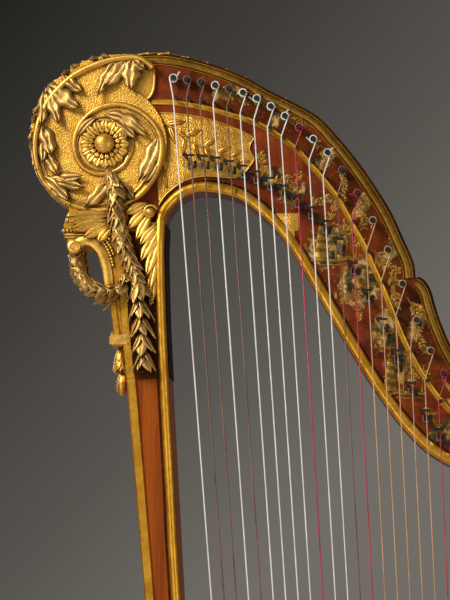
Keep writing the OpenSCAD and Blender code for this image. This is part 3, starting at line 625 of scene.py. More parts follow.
dice = random.Random(7)
strings = {"white": Solids(), "red": Solids(), "dark": Solids(), "tan": Solids()}
for i in range(COUNT):
    pin, nut, foot, r = string_line(i)
    reach = PIN_R + r + 0.1
    way = pin - nut
    hand = 1 if i in LEFT_WOUND else -1
    turn = math.atan2(way.z, way.x) + hand * math.asin(reach / way.length)
    run = math.sqrt(way.length ** 2 - reach ** 2)
    leave = Vector((nut.x + run * math.cos(turn), STRING_PLANE, nut.z + run * math.sin(turn)))
    start = math.atan2(leave.z - pin.z, leave.x - pin.x)
    turns = 2.2 + 0.8 * dice.random()
    coil = []
    for k in range(int(COIL_POINTS * turns) + 1):
        a = start - hand * 2 * math.pi * k / COIL_POINTS
        coil.append(Vector((pin.x + reach * math.cos(a),
                            STRING_PLANE + 2.1 * r * k / COIL_POINTS,
                            pin.z + reach * math.sin(a))))
    tail = dice.uniform(0, 2 * math.pi)
    end = coil[-1]
    reach_out = Vector((math.cos(tail), -0.5, math.sin(tail)))
    coil += [end + 1.5 * reach_out, end + dice.uniform(4, 6.5) * reach_out]
    down = (foot - nut).normalized()
    up = (leave - nut).normalized()
    route = list(reversed(coil)) + [nut + 3 * up, nut + 0.8 * up + 0.6 * down, nut + 3 * down]
    route += [nut.lerp(foot, 0.35), nut.lerp(foot, 0.7), foot - 14 * down,
              foot + 3.4 * BOARD_OUT, foot + 0.2 * BOARD_OUT]
    kind = ("red" if i in RED_STRINGS else "dark" if i in DARK_STRINGS
            else "tan" if i >= TAN_FIRST else "white")
    strings[kind].tube(route, 0.8 * r, 8)
for kind, look in (("white", GUT_WHITE), ("red", GUT_RED), ("dark", GUT_DARK), ("tan", GUT_TAN)):
    strings[kind].done("gut_" + kind, look, "gut_" + kind, ("strings_" + kind,))

# ---- Scroll: spiral bead, rosettes and acanthus, on both sides ----

RIM = [(-238, 1607), (-252, 1617), (-272, 1617), (-299, 1610), (-325, 1595), (-347, 1569),
       (-356, 1541), (-356, 1516), (-347, 1491), (-320, 1469), (-289, 1462), (-256, 1473),
       (-236, 1497), (-229, 1522), (-232, 1541), (-243, 1556), (-258, 1566), (-275, 1570),
       (-293, 1566), (-308, 1555), (-316, 1540), (-317, 1524), (-310, 1508), (-297, 1500),
       (-282, 1500), (-268, 1507), (-261, 1520)]
PETALS, SEEDS = 16, 60
beads, petals, leaves = Solids(), Solids(), Solids()


def on_scroll(x, z, height, side):
    return Vector((x, face_y(side, HALF_SCROLL + height), z))


def heading(angle):
    """Direction in the plane of the neck, so many degrees from X towards Z."""
    return Vector((math.cos(math.radians(angle)), 0, math.sin(math.radians(angle))))


def scroll_edge(angle):
    """Distance of the scroll's edge from the rosette's centre, in a direction."""
    return 70 + 22 * ((270 - angle) / 180) ** 2 if angle > 90 else 92


# Leaves on the scroll's face: place, heading, length, width, lobes, curl, bend
FACE_LEAVES = [
    (-259, 1616, 262, 34, 24, 3, 7, 0.2), (-266, 1615, 240, 36, 20, 2, 6, -0.2),
    (-276, 1614, 236, 42, 16, 3, 7, 0.3), (-258, 1615, 312, 17, 15, 2, 4, 0.3),
    (-343, 1590, 316, 42, 24, 3, 8, 0.2), (-346, 1587, 296, 42, 19, 3, 8, -0.2),
    (-349, 1582, 276, 36, 14, 2, 6, -0.3), (-328, 1600, 306, 28, 16, 2, 6, 0.4),
    (-350, 1547, 300, 34, 20, 2, 9, -0.4), (-349, 1534, 280, 24, 12, 0, 6, -0.3),
    (-349, 1522, 314, 30, 17, 2, 9, -0.4),
    (-348, 1497, 322, 40, 17, 2, 8, -0.2), (-342, 1496, 336, 41, 16, 2, 8, 0.2),
    (-338, 1495, 354, 31, 14, 0, 7, 0.3),
    (-283, 1491, 238, 36, 20, 2, 6, -0.3), (-314, 1538, 58, 28, 11, 0, 6, -0.5),
    (-233, 1534, 256, 50, 22, 2, 8, -0.3), (-232, 1514, 250, 30, 12, 0, 5, -0.3),
    (-284, 1560, 352, 50, 18, 3, 7, -0.8), (-281, 1556, 334, 38, 15, 2, 6, -0.5),
    (-279, 1553, 318, 27, 12, 0, 5, -0.4), (-267, 1487, 298, 20, 13, 2, 6, 0.3),
]

# Edge of the gilt field beside the red lacquer
FIELD_EDGE = [(-262, 1617), (-248, 1616), (-240, 1611), (-237, 1602), (-238, 1586), (-243, 1577),
              (-252, 1573)]
rim = smooth(RIM)
for side in (FRONT, BACK):
    out = (0, side, 0)
    level = face_y(side, HALF_SCROLL)
    beads.sweep(on_face(rim, level), rounded(6.4, 4.6), out, lambda u: 1.15 - 0.4 * u)
    beads.sweep(on_face(beside(rim[42:96], 6.0), level), rounded(2.4, 1.6), out)
    beads.sweep(on_face(smooth(FIELD_EDGE, 4), face_y(side, 19.5)), rounded(3.0, 2.0), out)
    for x, z, a, length, width, lobes, curl, bend in FACE_LEAVES:
        leaves.leaf(on_scroll(x, z, 1.4, side), heading(a), out, length, width, 4.4, curl, lobes,
                    0.3, bend * side, 0.5, 1.8, 0.9)
    centre = on_scroll(*ROSETTE, 0, side)
    for length, width, height, lift, curl, start in ((17.5, 11.4, 3.2, 2.8, 1.6, 0.0),
                                                     (8.5, 5.6, 5.4, 1.8, 1.6, 0.5)):
        for k in range(PETALS):
            way = heading(360 * (k + start) / PETALS)
            petals.leaf(centre + 8.0 * way + Vector((0, side * height, 0)), way, out,
                        length, width, lift, curl, 0, 0, 0, 0.5, 1.6, 1.9)
    petals.turned(centre, out, [(27, -1), (27, 0.8), (25, 1.2), (10.4, 1.4), (10, 7.0), (9.6, 9.0),
                                (8.0, 11.4), (5.2, 12.8), (2.4, 13.4), (0.3, 13.6)], 40)
    beads.sweep([centre + 28.4 * heading(9 * k) for k in range(40)], rounded(2.2, 2.6, 6), out,
                closed=True)
    for k in range(SEEDS):
        d = 8.8 * math.sqrt((k + 0.5) / SEEDS)
        h = 13.5 - 4.2 * (d / 9.4) ** 2.4
        petals.ball(centre + d * heading(137.5 * k) + Vector((0, side * h, 0)), 0.75, 6, 4)

# Acanthus that folds over the rim, and small leaves between, from the scroll's edge
middle = Vector((ROSETTE[0], NECK_Y, ROSETTE[1]))
for k in range(19):
    a = 86 + 10.2 * k
    for side in (FRONT, BACK):
        way = heading(a + (4 if side == BACK else 0))
        root = middle + Vector((0, side * 3, 0)) + (scroll_edge(a) - 2.4) * way
        leaves.leaf(root, (0.25 * -way.z, side, 0.25 * way.x), way, 27, 24, 3.4, 2.6, 3, 0.38,
                    0.3 * (-1) ** k, 0.5, 2.6)
for k in range(26):
    a = 84 + 7.4 * k
    way = heading(a)
    for side in (FRONT, BACK):
        root = middle + Vector((0, side * 20, 0)) + (scroll_edge(a) - 3.2) * way
        leaves.leaf(root, (-way.z, 0.12 * side, way.x), way + Vector((0, side * 0.8, 0)), 13, 9,
                    2.4, 1.5, 0, 0, 0.4, 0.6, 2.2)
# Crest of leaves that grow smaller along the neck's top
for side in (FRONT, BACK):
    for k, (p, way) in enumerate(spaced(on_face(top_a[:26], 0), 11)[:-1]):
        up = Vector((-way.z, 0, way.x))
        root = Vector((p.x, NECK_Y + side * 13, p.z)) - 0.8 * up - 3 * way
        leaves.leaf(root, way + Vector((0, side * 0.25, 0)), up, 20 - 0.8 * k, 9 - 0.4 * k,
                    2.2 - 0.1 * k, 1.2, 0, 0, 0.2 * (-1) ** k, 0.5, 1.6, 0.9)
beads.done("scroll_beads", GOLD, "gilding", ("scroll_mouldings",))
petals.done("rosette_petals", GOLD, "gilding", ("rosettes",))
leaves.done("scroll_leaves", GOLD_OLD, "gilding", ("acanthus_leaves",), angle=70)

# ---- Capital, garlands and column ----

HALF_CAPITAL = 26.0
HALF_COLUMN = 25.0
# Highest point of the column's shaft, where the capital starts
SHAFT_TOP = 1293
cap, foliage, laurel, strips, shade_and_dirt_plates = Solids(), Solids(), Solids(), Solids(), Solids()


def laurel_run(path, facing, step, length, width, spread, around, core, seed):
    """Tiers of overlapping pointed leaves round a path, with berries between them."""
    chance = random.Random(seed)
    laurel.tube([Vector(p) for p in path], core, 8)
    for n, (p, way) in enumerate(spaced(path, step)):
        across = way.cross(Vector(facing)).normalized()
        front = across.cross(way).normalized()
        for a in around:
            a = math.radians(a + (8 if n % 2 else -8) + chance.uniform(-7, 7))
            radial = front * math.cos(a) + across * math.sin(a)
            toward = way + spread * (1 + 0.6 * abs(math.sin(a))) * radial
            size = chance.uniform(0.88, 1.12)
            laurel.leaf(p + core * 0.5 * radial - 2 * way, toward, radial, length * size,
                        width * size, 1.6, chance.uniform(0.5, 2.5), 0, 0,
                        chance.uniform(-0.16, 0.16) * 2, 0.35, 1.1, 1.05)
        for a in (-35, 30):
            a = math.radians(a + chance.uniform(-8, 8))
            radial = front * math.cos(a) + across * math.sin(a)
            laurel.ball(p + (core + 1.4) * radial + 0.4 * step * way, 1.3, 8, 5)


# Paths of the garlands: X, distance from the neck's middle plane, Z
SWAG = [(-266, 34, 1396), (-264, 35, 1389), (-270, 35, 1382), (-280, 34, 1379), (-291, 32, 1381),
        (-302, 27, 1387), (-310, 20, 1396), (-314, 14, 1407), (-315, 11, 1417)]
DROP_TOP = [(-282, 33, 1500), (-277, 34, 1488), (-275, 34, 1470), (-272, 34, 1450),
            (-267, 34, 1430), (-260, 33, 1410), (-253, 33, 1390)]
DROP_LOW = [(-253, 33, 1390), (-250, 33, 1368), (-248, 33, 1345), (-246, 32, 1320)]
# Outer moulding of the open console
ARCH = [(-313, 1428), (-307, 1431), (-299, 1430), (-290.5, 1422.5), (-285, 1410.5),
        (-282.3, 1398), (-280.6, 1384), (-278.5, 1373)]
# Leaves on the capital's face: X, Z, heading, length, width, lobes, curl, bend
CAPITAL_LEAVES = [
    (-279, 1457, 180, 46, 14, 0, 7, 0.15), (-280, 1451, 189, 42, 14, 0, 7, 0.15),
    (-280, 1448, 204, 31, 13, 0, 7, 0.2), (-278, 1446, 226, 23, 12, 0, 6, 0.2),
    (-296, 1456, 192, 26, 11, 0, 6, 0.2),
    (-243, 1468, 200, 24, 12, 0, 6, 0.3), (-242, 1464, 222, 32, 12, 0, 6, 0.2),
    (-239, 1459, 240, 33, 12, 0, 6, 0.1), (-233, 1447, 226, 28, 12, 0, 6, 0.2),
    (-232, 1442, 240, 38, 13, 0, 7, 0.1), (-231, 1433, 250, 42, 13, 0, 7, 0.1),
    (-233, 1420, 258, 44, 12, 0, 6, 0.05), (-235, 1404, 264, 42, 10, 0, 4, 0.0),
]
# Outlines of the dark plates: dirt and painted shade behind the garland's drop, painted shade on
# the strings' side
PANEL_GROUND = [(-262, 1376), (-258.5, 1335), (-254, 1292), (-229.5, 1292), (-232, 1350),
                (-234.5, 1400), (-236, 1440), (-262, 1440)]
SHAFT_GROUND = [(-224.6, 1448), (-225.6, 1421), (-223.6, 1350), (-220.6, 1294)]
# Gilt strips along the capital and the column: their path, level and profile
STRIPS = (
    (((-277.6, 1376), (-275.6, 1358), (-272.4, 1334)), HALF_CAPITAL,
     [(-3.2, -6), (-3.2, 0.6), (-2.4, 1.6), (2.4, 1.6), (3.2, 0.6), (3.2, -6)]),
    (((-266.8, 1378), (-263.6, 1338), (-258.8, 1293)), HALF_CAPITAL,
     [(-4.2, -4), (-4.2, 0.8), (-3.4, 2.0), (3.4, 2.0), (4.2, 0.8), (4.2, -4)]),
    (((-258.8, 1296), (-249, 1186), (-239.2, 1074), (-211, 660), (-181.5, 228)), HALF_COLUMN,
     [(-4.7, -3), (-4.7, 1.2), (-3.8, 2.4), (3.4, 2.4), (4.4, 1.0), (4.7, -1)]))
# Bead on the strings' side, from the column's foot up to the neck
INNER_BEAD = [(-153.9, 228), (-184, 660), (-213.3, 1074), (-219.8, 1186), (-225.9, 1293),
              (-228.8, 1350), (-230.4, 1405), (-230.3, 1430)]
BEAD_UNDER_NECK = ([(-4.6, -9), (-4.6, 0.8)]
                   + [(-4.6 * math.cos(math.pi * k / 10), 0.8 + 3.4 * math.sin(math.pi * k / 10))
                      for k in range(1, 10)] + [(4.6, 0.8), (4.6, -9)])
for side in (FRONT, BACK):
    out = (0, side, 0)
    y = face_y(side, HALF_CAPITAL)

    def on_capital(x, z, height=0.0):
        return Vector((x, y + side * height, z))

    cap.sweep(on_face(smooth(ARCH, 5), y),
              [(-4.6, -4), (-4.6, 1.8), (-3.6, 2.6), (3.6, 2.6), (4.6, 1.8), (4.6, -4)], out)
    cap.turned(on_capital(-316.5, 1425), out,
               [(6.8, -6), (6.8, 3.0), (6.0, 3.9), (3.6, 4.0), (3.0, 3.2), (0.2, 3.2)], 32)
    # Three rows of berries that follow the console's curve
    for row, (count, distance) in enumerate(((14, 6.6), (12, 10.2), (8, 13.8))):
        berries = spaced(on_face(beside(smooth(ARCH, 5), distance)[8:28 - 4 * row], 0), 3.3)
        for p, way in berries[:count]:
            if p.x < -270:
                cap.ball(on_capital(p.x, p.z, 1.4), 1.9, 10, 6)
    for x, z, a, length, width, lobes, curl, bend in CAPITAL_LEAVES:
        foliage.leaf(on_capital(x, z, 1.5), heading(a), out, length, width, 3.4, curl, lobes,
                     0, bend * side, 0.5, 2.4, 1.15)
    foliage.ball(on_capital(-240, 1459, 4), (5.0, 5.0, 4.0), 16, 9)
    foliage.sweep([on_capital(-240, 1459, 2.5) + (7.4 - 0.012 * a) * heading(a + 20)
                   for a in range(0, 420, 15)], rounded(3.0, 2.6), out)
    for path, sizes, around, core, seed in (
            (SWAG, (8.6, 17, 13, 0.24), (-100, -50, 0, 50, 100, 160), 3.4, 3),
            (DROP_TOP, (10.5, 25, 13, 0.17), (-90, -44, 0, 44, 90), 3.4, 5),
            (DROP_LOW, (17.5, 27, 12, 0.27), (-92, -60, -8, 50, 88), 2.4, 8)):
        laurel_run([(p[0], NECK_Y + side * p[1], p[2]) for p in smooth(path, 5)], out, *sizes,
                   around, core, seed)
    # Dark plate behind the drop, between the pilaster and the inner bead: dirt and painted shade
    shade_and_dirt_plates.rows([on_face(PANEL_GROUND, y - side * 2), on_face(PANEL_GROUND, y + side * 0.6)])
    for path, level, profile in STRIPS:
        strips.sweep(on_face(path, face_y(side, level)), profile, out)
    # The inner bead steps from the column's level to the capital's, and to the neck's
    bead = []
    for x, z in smooth(INNER_BEAD, 5) + beside(low, 5.3)[2:44]:
        u = min(max((z - 1440) / 40, 0), 1) if x < -185 else 1
        eased = u * u * (3 - 2 * u)
        level = (HALF_COLUMN if z < SHAFT_TOP else HALF_CAPITAL) * (1 - eased) + HALF_NECK * eased
        bead.append((x, face_y(side, level), z))
    split = max(i for i, p in enumerate(bead) if p[2] < 1432 and p[0] < -220)
    shaft = bead[:split + 2]
    strips.sweep(shaft, rounded(9.2, 4.2, 10), out)
    strips.sweep(bead[split:], BEAD_UNDER_NECK, out)
    # Dark line of painted shade in the groove beside the bead
    shade_and_dirt_plates.sweep([(p[0] - 6.2, p[1], p[2]) for p in shaft[:-2]], rounded(2.2, 0.9), out)
    # Dark strip of painted shade on the column's side towards the strings
    shade_and_dirt_plates.rows([[(x, NECK_Y + w * 25.0, z) for x, w in ((edge + 0.5, -1), (edge + 0.5, 1),
                                                         (edge - 1, 1), (edge - 1, -1))]
                 for edge, z in SHAFT_GROUND])

# Mouldings, beads and leaves that run round the capital's outer end
for z, r in ((1437.6, 1.3), (1434.8, 0.8)):
    around = [(-277, face_y(FRONT, 26.6), z), (-325, face_y(FRONT, 26.6), z),
              (-326.2, face_y(FRONT, 25.5), z), (-326.2, face_y(BACK, 25.5), z),
              (-325, face_y(BACK, 26.6), z), (-277, face_y(BACK, 26.6), z)]
    cap.tube(around, r, 8)
for k in range(14):
    for side in (FRONT, BACK):
        cap.ball((-326.5 + 3.55 * k, face_y(side, 27.2), 1441.6), 1.75, 10, 6)
for k in range(15):
    cap.ball((-327.4, NECK_Y - 25 + 3.55 * k, 1441.6), 1.75, 10, 6)
for k in range(5):
    y = NECK_Y - 21 + 10.5 * k
    foliage.leaf((-322, y, 1461), (-0.12, 0, -1), (-1, 0, 0.1), 19, 12.5, 3.0, 3, 3, 0.3, 0, 0.5,
                 2.0)
# Console end across the capital, block, husk and bud on the column's outer side
cap.turned((-316.5, NECK_Y - 26, 1425), (0, 1, 0), [(6.6, 0), (6.6, 52)], 32)
cap.rows([[(-280.2, y, 1327.6), (-280.2, y, 1334.6), (-278.6, y, 1336.4), (-262, y, 1336.4),
           (-262, y, 1326.4), (-279, y, 1326.4)]
          for y in (NECK_Y - 28.4, NECK_Y - 27.6, NECK_Y + 27.6, NECK_Y + 28.4)])


def hanging(x, z, count, start, away, spread, *sizes):
    """A ring of leaves that hang down round the block's pendant."""
    for k in range(count):
        a = 2 * math.pi * (k + start) / count
        radial = Vector((math.cos(a), math.sin(a), 0))
        foliage.leaf(Vector((x, NECK_Y, z)) + away * radial, axis + spread * radial, radial,
                     *sizes)


axis = Vector((-0.06, 0, -1))
hanging(-270.5, 1327, 7, 0, 2.5, 0.14, 26, 11, 2.4, 1.5, 0, 0, 0, 0.4, 2.4, 1.1)
hanging(-270.5, 1321, 6, 0.5, 2.5, 0.14, 22, 9, 2.4, 1.5, 0, 0, 0, 0.4, 2.4, 1.1)
foliage.ball((-269.8, NECK_Y, 1289), (5.6, 6.2, 11.5), 18, 14, z=(0.06, 0, 1))
hanging(-270.4, 1300, 7, 0, 1.8, 0.23, 20, 6.2, 1.6, -2.6, 0, 0, 0, 0.5, 2.0, 1.0)
cap.done("capital_trim", GOLD, "gilding")
foliage.done("capital_leaves", GOLD, "gilding", angle=70)
laurel.done("laurel_garlands", GOLD_OLD, "gilding", ("garlands",), angle=70)
strips.done("column_beads", GOLD_LINE, "gilding", ("column_mouldings",))
shade_and_dirt_plates.done("painted_shade_and_dirt", DARK_LACQUER_AND_SHADE, "red_lacquer")

# ---- Gilt panels and raised gilt decoration on the neck ----

# Outlines of the carved panel, the stepped field, and the field beside the scroll
PANEL = [(-240, 1560), (-228, 1562), (-210, 1560.5), (-192, 1557.5), (-177, 1553.5), (-163, 1548.5),
         (-150, 1543), (-139, 1537), (-137, 1534), (-140, 1529), (-141, 1524), (-139, 1519),
         (-136.5, 1514), (-139, 1508.5), (-146, 1500), (-154, 1495), (-168, 1495.5), (-184, 1497),
         (-201, 1494.5), (-212, 1489), (-221, 1482), (-227, 1476), (-232, 1468)]
STEPPED = [(-115, 1458.5), (-92, 1458.5), (-92, 1440.5), (-95.5, 1440.5), (-95.5, 1434),
           (-99, 1436), (-107, 1448)]
SCROLL_FIELD = [(-262, 1617), (-250, 1616), (-241, 1612), (-238, 1604), (-238, 1586),
                (-243, 1577), (-262, 1572)]


def slab(solids, outline, y, side, height, edge=0.8):
    """Low plate with chamfered edges, standing on a face."""
    middle = Vector((sum(p[0] for p in outline) / len(outline),
                     sum(p[1] for p in outline) / len(outline)))
    inner = [middle + (Vector(p) - middle) * (1 - edge / max((Vector(p) - middle).length, 4))
             for p in outline]
    solids.rows([[(p[0], y - side * 0.8, p[1]) for p in outline],
                 [(p[0], y + side * (height - 0.5 * edge), p[1]) for p in outline],
                 [(p[0], y + side * height, p[1]) for p in inner]])


def spray(solids, x, z, angle, length, side, seed, size, flowers):
    """Raised gilt sprig: a bending stem with leaves on both sides and small flowers."""
    chance = random.Random(seed)
    y = face_y(side, HALF_NECK)
    out = (0, side, 0)
    bend = chance.choice((-1, 1)) * chance.uniform(20, 55)
    path, a = [Vector((x, y, z))], angle
    steps = 8
    for k in range(steps):
        a += bend / steps
        path.append(path[-1] + length / steps * heading(a))
    solids.sweep(path, rounded(0.9 * size, 0.6, 4, 0.4), out, lambda u: 1.1 - 0.6 * u)
    for k in range(1, steps + 1):
        way = (path[k] - path[k - 1]).normalized()
        here = math.degrees(math.atan2(way.z, way.x))
        for hand in (-1, 1):
            if chance.random() < 0.85:
                turn_to = here + hand * chance.uniform(28, 60)
                solids.leaf(path[k], heading(turn_to), out, size * chance.uniform(4.5, 8.0),
                            size * chance.uniform(1.9, 2.9), 0.5, 0.2, 0, 0,
                            chance.uniform(-0.5, 0.5), 0.6, 0.6, small=True)
    for k in range(flowers):
        at = path[steps - 3 * k] + size * Vector((chance.uniform(-2, 2), 0, chance.uniform(-1, 2)))
        for petal in range(5):
            way = heading(72 * petal + 20 * seed)
            solids.leaf(at + 0.7 * size * way, way, out, 3.3 * size, 2.9 * size, 0.9, 0.5, 0, 0, 0,
                        0.4, 0.6, 1.5, small=True)
        solids.ball(at + Vector((0, side * 0.5, 0)), size, 8, 4)


def tree(solids, x, z, height, side, seed):
    """Small raised tree of a landscape."""
    chance = random.Random(seed)
    y = face_y(side, HALF_NECK)
    top = Vector((x + chance.uniform(-3, 3), y, z + height))
    solids.sweep([Vector((x, y, z)), Vector((x + 1.2, y, z + 0.5 * height)), top],
                 rounded(1.6, 0.8, 4, 0.4), (0, side, 0), lambda u: 1.2 - 0.6 * u)
    for k in range(16):
        a = chance.uniform(0, 360)
        at = top + chance.uniform(0, 0.34) * height * heading(a)
        solids.leaf(at, heading(a + chance.uniform(-30, 30)), (0, side, 0), chance.uniform(3, 5.5),
                    chance.uniform(2.2, 3.4), 0.9, 0.4, 0, 0, 0, 0.5, 0.6, small=True)


def landscape(solids, x0, x1, z, rise, side, seed):
    """Two ground lines with rocks, a small tower in four tiers, and trees."""
    chance = random.Random(seed)
    y = face_y(side, HALF_NECK)
    out = (0, side, 0)
    ground = [(x0 + (x1 - x0) * k / 8, y, z + chance.uniform(-1, 1)) for k in range(9)]
    solids.sweep([Vector(p) for p in ground], rounded(3.2, 1.0, 5, 0.5), out)
    solids.sweep([Vector(p) - Vector((-2, 0, 4.5)) for p in ground[1:-1]],
                 rounded(1.6, 0.6, 4, 0.5), out)
    for k in range(7):
        at = Vector((chance.uniform(x0 + 3, x1 - 5), y, z + chance.uniform(0, 4)))
        solids.ball(at, (chance.uniform(2, 4), 0.8, chance.uniform(1.5, 3)), 10, 6)
    tower = x0 + 0.22 * (x1 - x0)
    for step in range(4):
        half, low_z = 7.0 - 1.3 * step, z + 2 + rise * 0.2 * step
        eaves, ridge = low_z + rise * 0.15, low_z + rise * 0.2
        for foot, head, z0, z1, height in ((half, half - 0.6, low_z, eaves, 1.1),
                                           (half + 1.6, half - 1.2, eaves, ridge, 1.5)):
            slab(solids, [(tower - foot, z0), (tower + foot, z0), (tower + head, z1),
                          (tower - head, z1)], y, side, height)
    for k in range(3):
        tree(solids, x0 + (0.5 + 0.2 * k) * (x1 - x0), z + 1, rise * (0.75 - 0.15 * k), side,
             seed + k)


def hook_place(i):
    """Where hook i stands, as in the CAD drawing."""
    _, nut, foot, _ = string_line(i)
    return nut.lerp(foot, (3 + 0.0415 * (nut.z - foot.z)) / (nut.z - foot.z))


hook_row = [hook_place(i) for i in range(1, COUNT)]
# Half width of the cover behind the hooks, with some room
COVER_REACH = 25


def under_cover(x, z, angle, length):
    """Whether a sprig would meet the cover behind the hooks."""
    for t in (0, 0.5, 1):
        p = Vector((x, 0, z)) + t * length * heading(angle)
        if min(math.hypot(q.x - p.x, q.z - p.z) for q in hook_row) < COVER_REACH:
            return True
    return False


# Stem of the carved branch in the panel
STEM = [(-244, 1556), (-228, 1551), (-213, 1544), (-201, 1533), (-184, 1525), (-168, 1519),
        (-152, 1514)]
# Leaves of the panel: X, Z, heading, length, width
PANEL_LEAVES = (
    (-225, 1551, 6, 20, 6.5), (-206, 1538, 22, 18, 5.5), (-187, 1527, 34, 16, 5.0),
    (-173, 1521, 22, 15, 4.6), (-160, 1516, 30, 13, 4.0), (-222, 1548, 292, 22, 6.5),
    (-206, 1536, 262, 18, 5.5), (-197, 1531, 285, 17, 5.0), (-186, 1525, 300, 15, 5.0),
    (-174, 1520, 318, 14, 4.6), (-160, 1515, 330, 12, 4.0), (-214, 1543, 330, 14, 5.0),
    (-151, 1513, 350, 11, 4.0), (-234, 1553, 300, 16, 6.0), (-236, 1540, 285, 22, 6.0),
    (-232, 1520, 292, 20, 5.5), (-228, 1502, 282, 18, 5.0))
# Sprigs on the neck: X, Z, heading, length, size
SPRIGS = (
    (-128, 1497, 70, 20, 1.2), (-120, 1487, 40, 18, 1.1), (-98, 1462, 95, 34, 1.3),
    (-84, 1464, 40, 26, 1.3), (-62, 1448, 80, 26, 1.3), (-52, 1438, 20, 22, 1.2),
    (-50, 1366, 60, 26, 1.0), (-34, 1346, 64, 26, 1.0), (-20, 1330, 44, 22, 1.0),
    (-16, 1420, 290, 30, 1.3), (-2, 1398, 300, 34, 1.5), (16, 1372, 290, 34, 1.5),
    (24, 1344, 275, 26, 1.1), (12, 1282, 40, 22, 1.0), (28, 1262, 340, 24, 1.0),
    (-175, 1585, 350, 34, 1.1), (-140, 1574, 335, 34, 1.1), (-108, 1557, 325, 30, 1.1),
    (-76, 1533, 315, 28, 1.1), (-50, 1502, 300, 28, 1.1), (-32, 1470, 298, 26, 1.1),
    (50, 1290, 330, 30, 1.2), (52, 1238, 330, 34, 1.2), (92, 1222, 345, 36, 1.2),
    (135, 1214, 10, 38, 1.2), (180, 1222, 12, 36, 1.2), (226, 1232, 12, 34, 1.1),
    (190, 1236, 30, 16, 1.0), (262, 1242, 10, 26, 1.0), (322, 1262, 300, 26, 1.0))
fields, relief, paint = Solids(), Solids(), Solids()
for side in (FRONT, BACK):
    face = face_y(side, HALF_NECK)
    out = (0, side, 0)
    slab(fields, smooth(PANEL, 2), face, side, 1.3)
    slab(fields, STEPPED, face, side, 1.3)
    slab(fields, SCROLL_FIELD, face, side, 4.0, 1.5)
    relief.sweep(on_face(smooth(PANEL, 2)[1:], face + side * 1.3), rounded(1.5, 0.9, 5), out)
    if side == FRONT:
        relief.sweep(on_face(smooth(STEM, 5), face + side * 1.2), rounded(1.9, 1.4, 5), out,
                     lambda u: 1.2 - 0.6 * u)
    else:
        edge = [(p.x, p.z) for p in hook_row]
        for away in (-9.5, 13.5):
            relief.sweep(on_face(beside(edge, away), face + side * 3), rounded(1.6, 0.6, 4, 0.6),
                         out)
    for x, z, a, length, width in PANEL_LEAVES:
        if side == FRONT or not under_cover(x, z, a, length):
            relief.leaf((x, face + side * 1.3, z), heading(a), out, length, 1.15 * width, 2.6,
                        0.8, 0, 0, 0, 0.45, 1.6)
    if side == FRONT:
        for x0, x1, z, rise, seed in ((-80, -30, 1411, 43, 4), (-12, 34, 1277, 40, 9)):
            landscape(paint, x0, x1, z, rise, side, seed)
    for n, (x, z, a, length, size) in enumerate(SPRIGS):
        if side == FRONT or not under_cover(x, z, a, length):
            spray(paint, x, z, a, length, side, n + (0 if side == FRONT else 40), size,
                  2 if n % 2 else 1)
fields.done("gilt_fields", GOLD_GROUND, "gilding")
relief.done("gilt_relief", GOLD, "gilding")
paint.done("raised_gilt", GOLD_PAINT, "gilding")

# ---- Base, column foot, soundbox and pedals ----

# Half widths of the soundbox at its two ends, and where the taper starts and how long it is
BOX_LOW, BOX_HIGH = 189.0, 56.0
BOX_START, BOX_LENGTH = -80, 1210
# Heights along the string line: top of the soundbox, and of the back's stringing
BOX_TOP, STAVES_TOP = 1131, 1128
# How far the back's half round and the board's face lie inside the string line's plane
BACK_IN, BOARD_IN = 8, 3
# Sound holes: radius of the ends, and half the distance between their centres
HOLE_R, HOLE_HALF = 18.8, 22
ROSES, HOLES = (240, 520, 780), (230, 440, 650, 850)
# Pedals: note, and X and Y of the lever's end
PEDALS = (("d", 82, -140), ("c", 120, -95), ("b", 140, -50), ("e", 147, 5), ("f", 140, 50),
          ("g", 120, 95), ("a", 82, 140))


def half_box(z):
    return BOX_LOW + (BOX_HIGH - BOX_LOW) * (z - BOX_START) / BOX_LENGTH


def in_box(x, y, z):
    """Point of the leaning soundbox: x into it, z up along the string line."""
    return Vector((BOX_X + x * math.cos(LEAN) + z * math.sin(LEAN), y,
                   BOX_Z - x * math.sin(LEAN) + z * math.cos(LEAN)))


def on_back(a, z):
    """Point on the round back, at an angle from its middle."""
    return in_box(BACK_IN + half_box(z) * math.cos(a), half_box(z) * math.sin(a), z)


def box_way(x, y, z):
    return in_box(x, y, z) - in_box(0, 0, 0)


def base_ring(grow, z):
    """Level curve round the base, seen from above anticlockwise: round behind, blunt nose."""
    ring = [(-120 + (205 + grow) * math.cos(math.radians(k)),
             (192 + grow) * math.sin(math.radians(k)), z) for k in range(-90, 91, 5)]
    far, half = -225 - grow, 62 + 0.5 * grow
    return ring + [(-145, 192 + grow, z), (-190, 0.5 * (254 + 1.5 * grow), z), (far, half, z),
                   (far, 0, z), (far, -half, z), (-190, -0.5 * (254 + 1.5 * grow), z),
                   (-145, -192 - grow, z)]


def round_base(grow, z, step):
    """Evenly spaced places round the base, with their headings."""
    ring = base_ring(grow, z)
    return spaced(ring + ring[:1], step)[:-1]


trim, frieze = Solids(), Solids()
up = Vector((0, 0, 1))
FILLET = [(-1, -1.4), (1.8, -1.4), (2.8, 0), (1.8, 1.4), (-1, 1.4)]
for z, profile in (
        (26, [(-2, 0), (3, 0), (5, 2), (5.6, 4.5), (4.6, 7), (2, 8.6), (1.4, 10.4), (-2, 10.4)]),
        (91.5, FILLET), (117.5, FILLET),
        (127, [(-2, 0), (1, 0), (1.6, 2), (4.4, 5), (6, 8), (6, 11), (4.6, 13), (2, 13.8),
               (-9, 13.9), (-9, 12.6), (-2, 12.4)])):
    trim.sweep(base_ring(0, z), profile, up, closed=True)
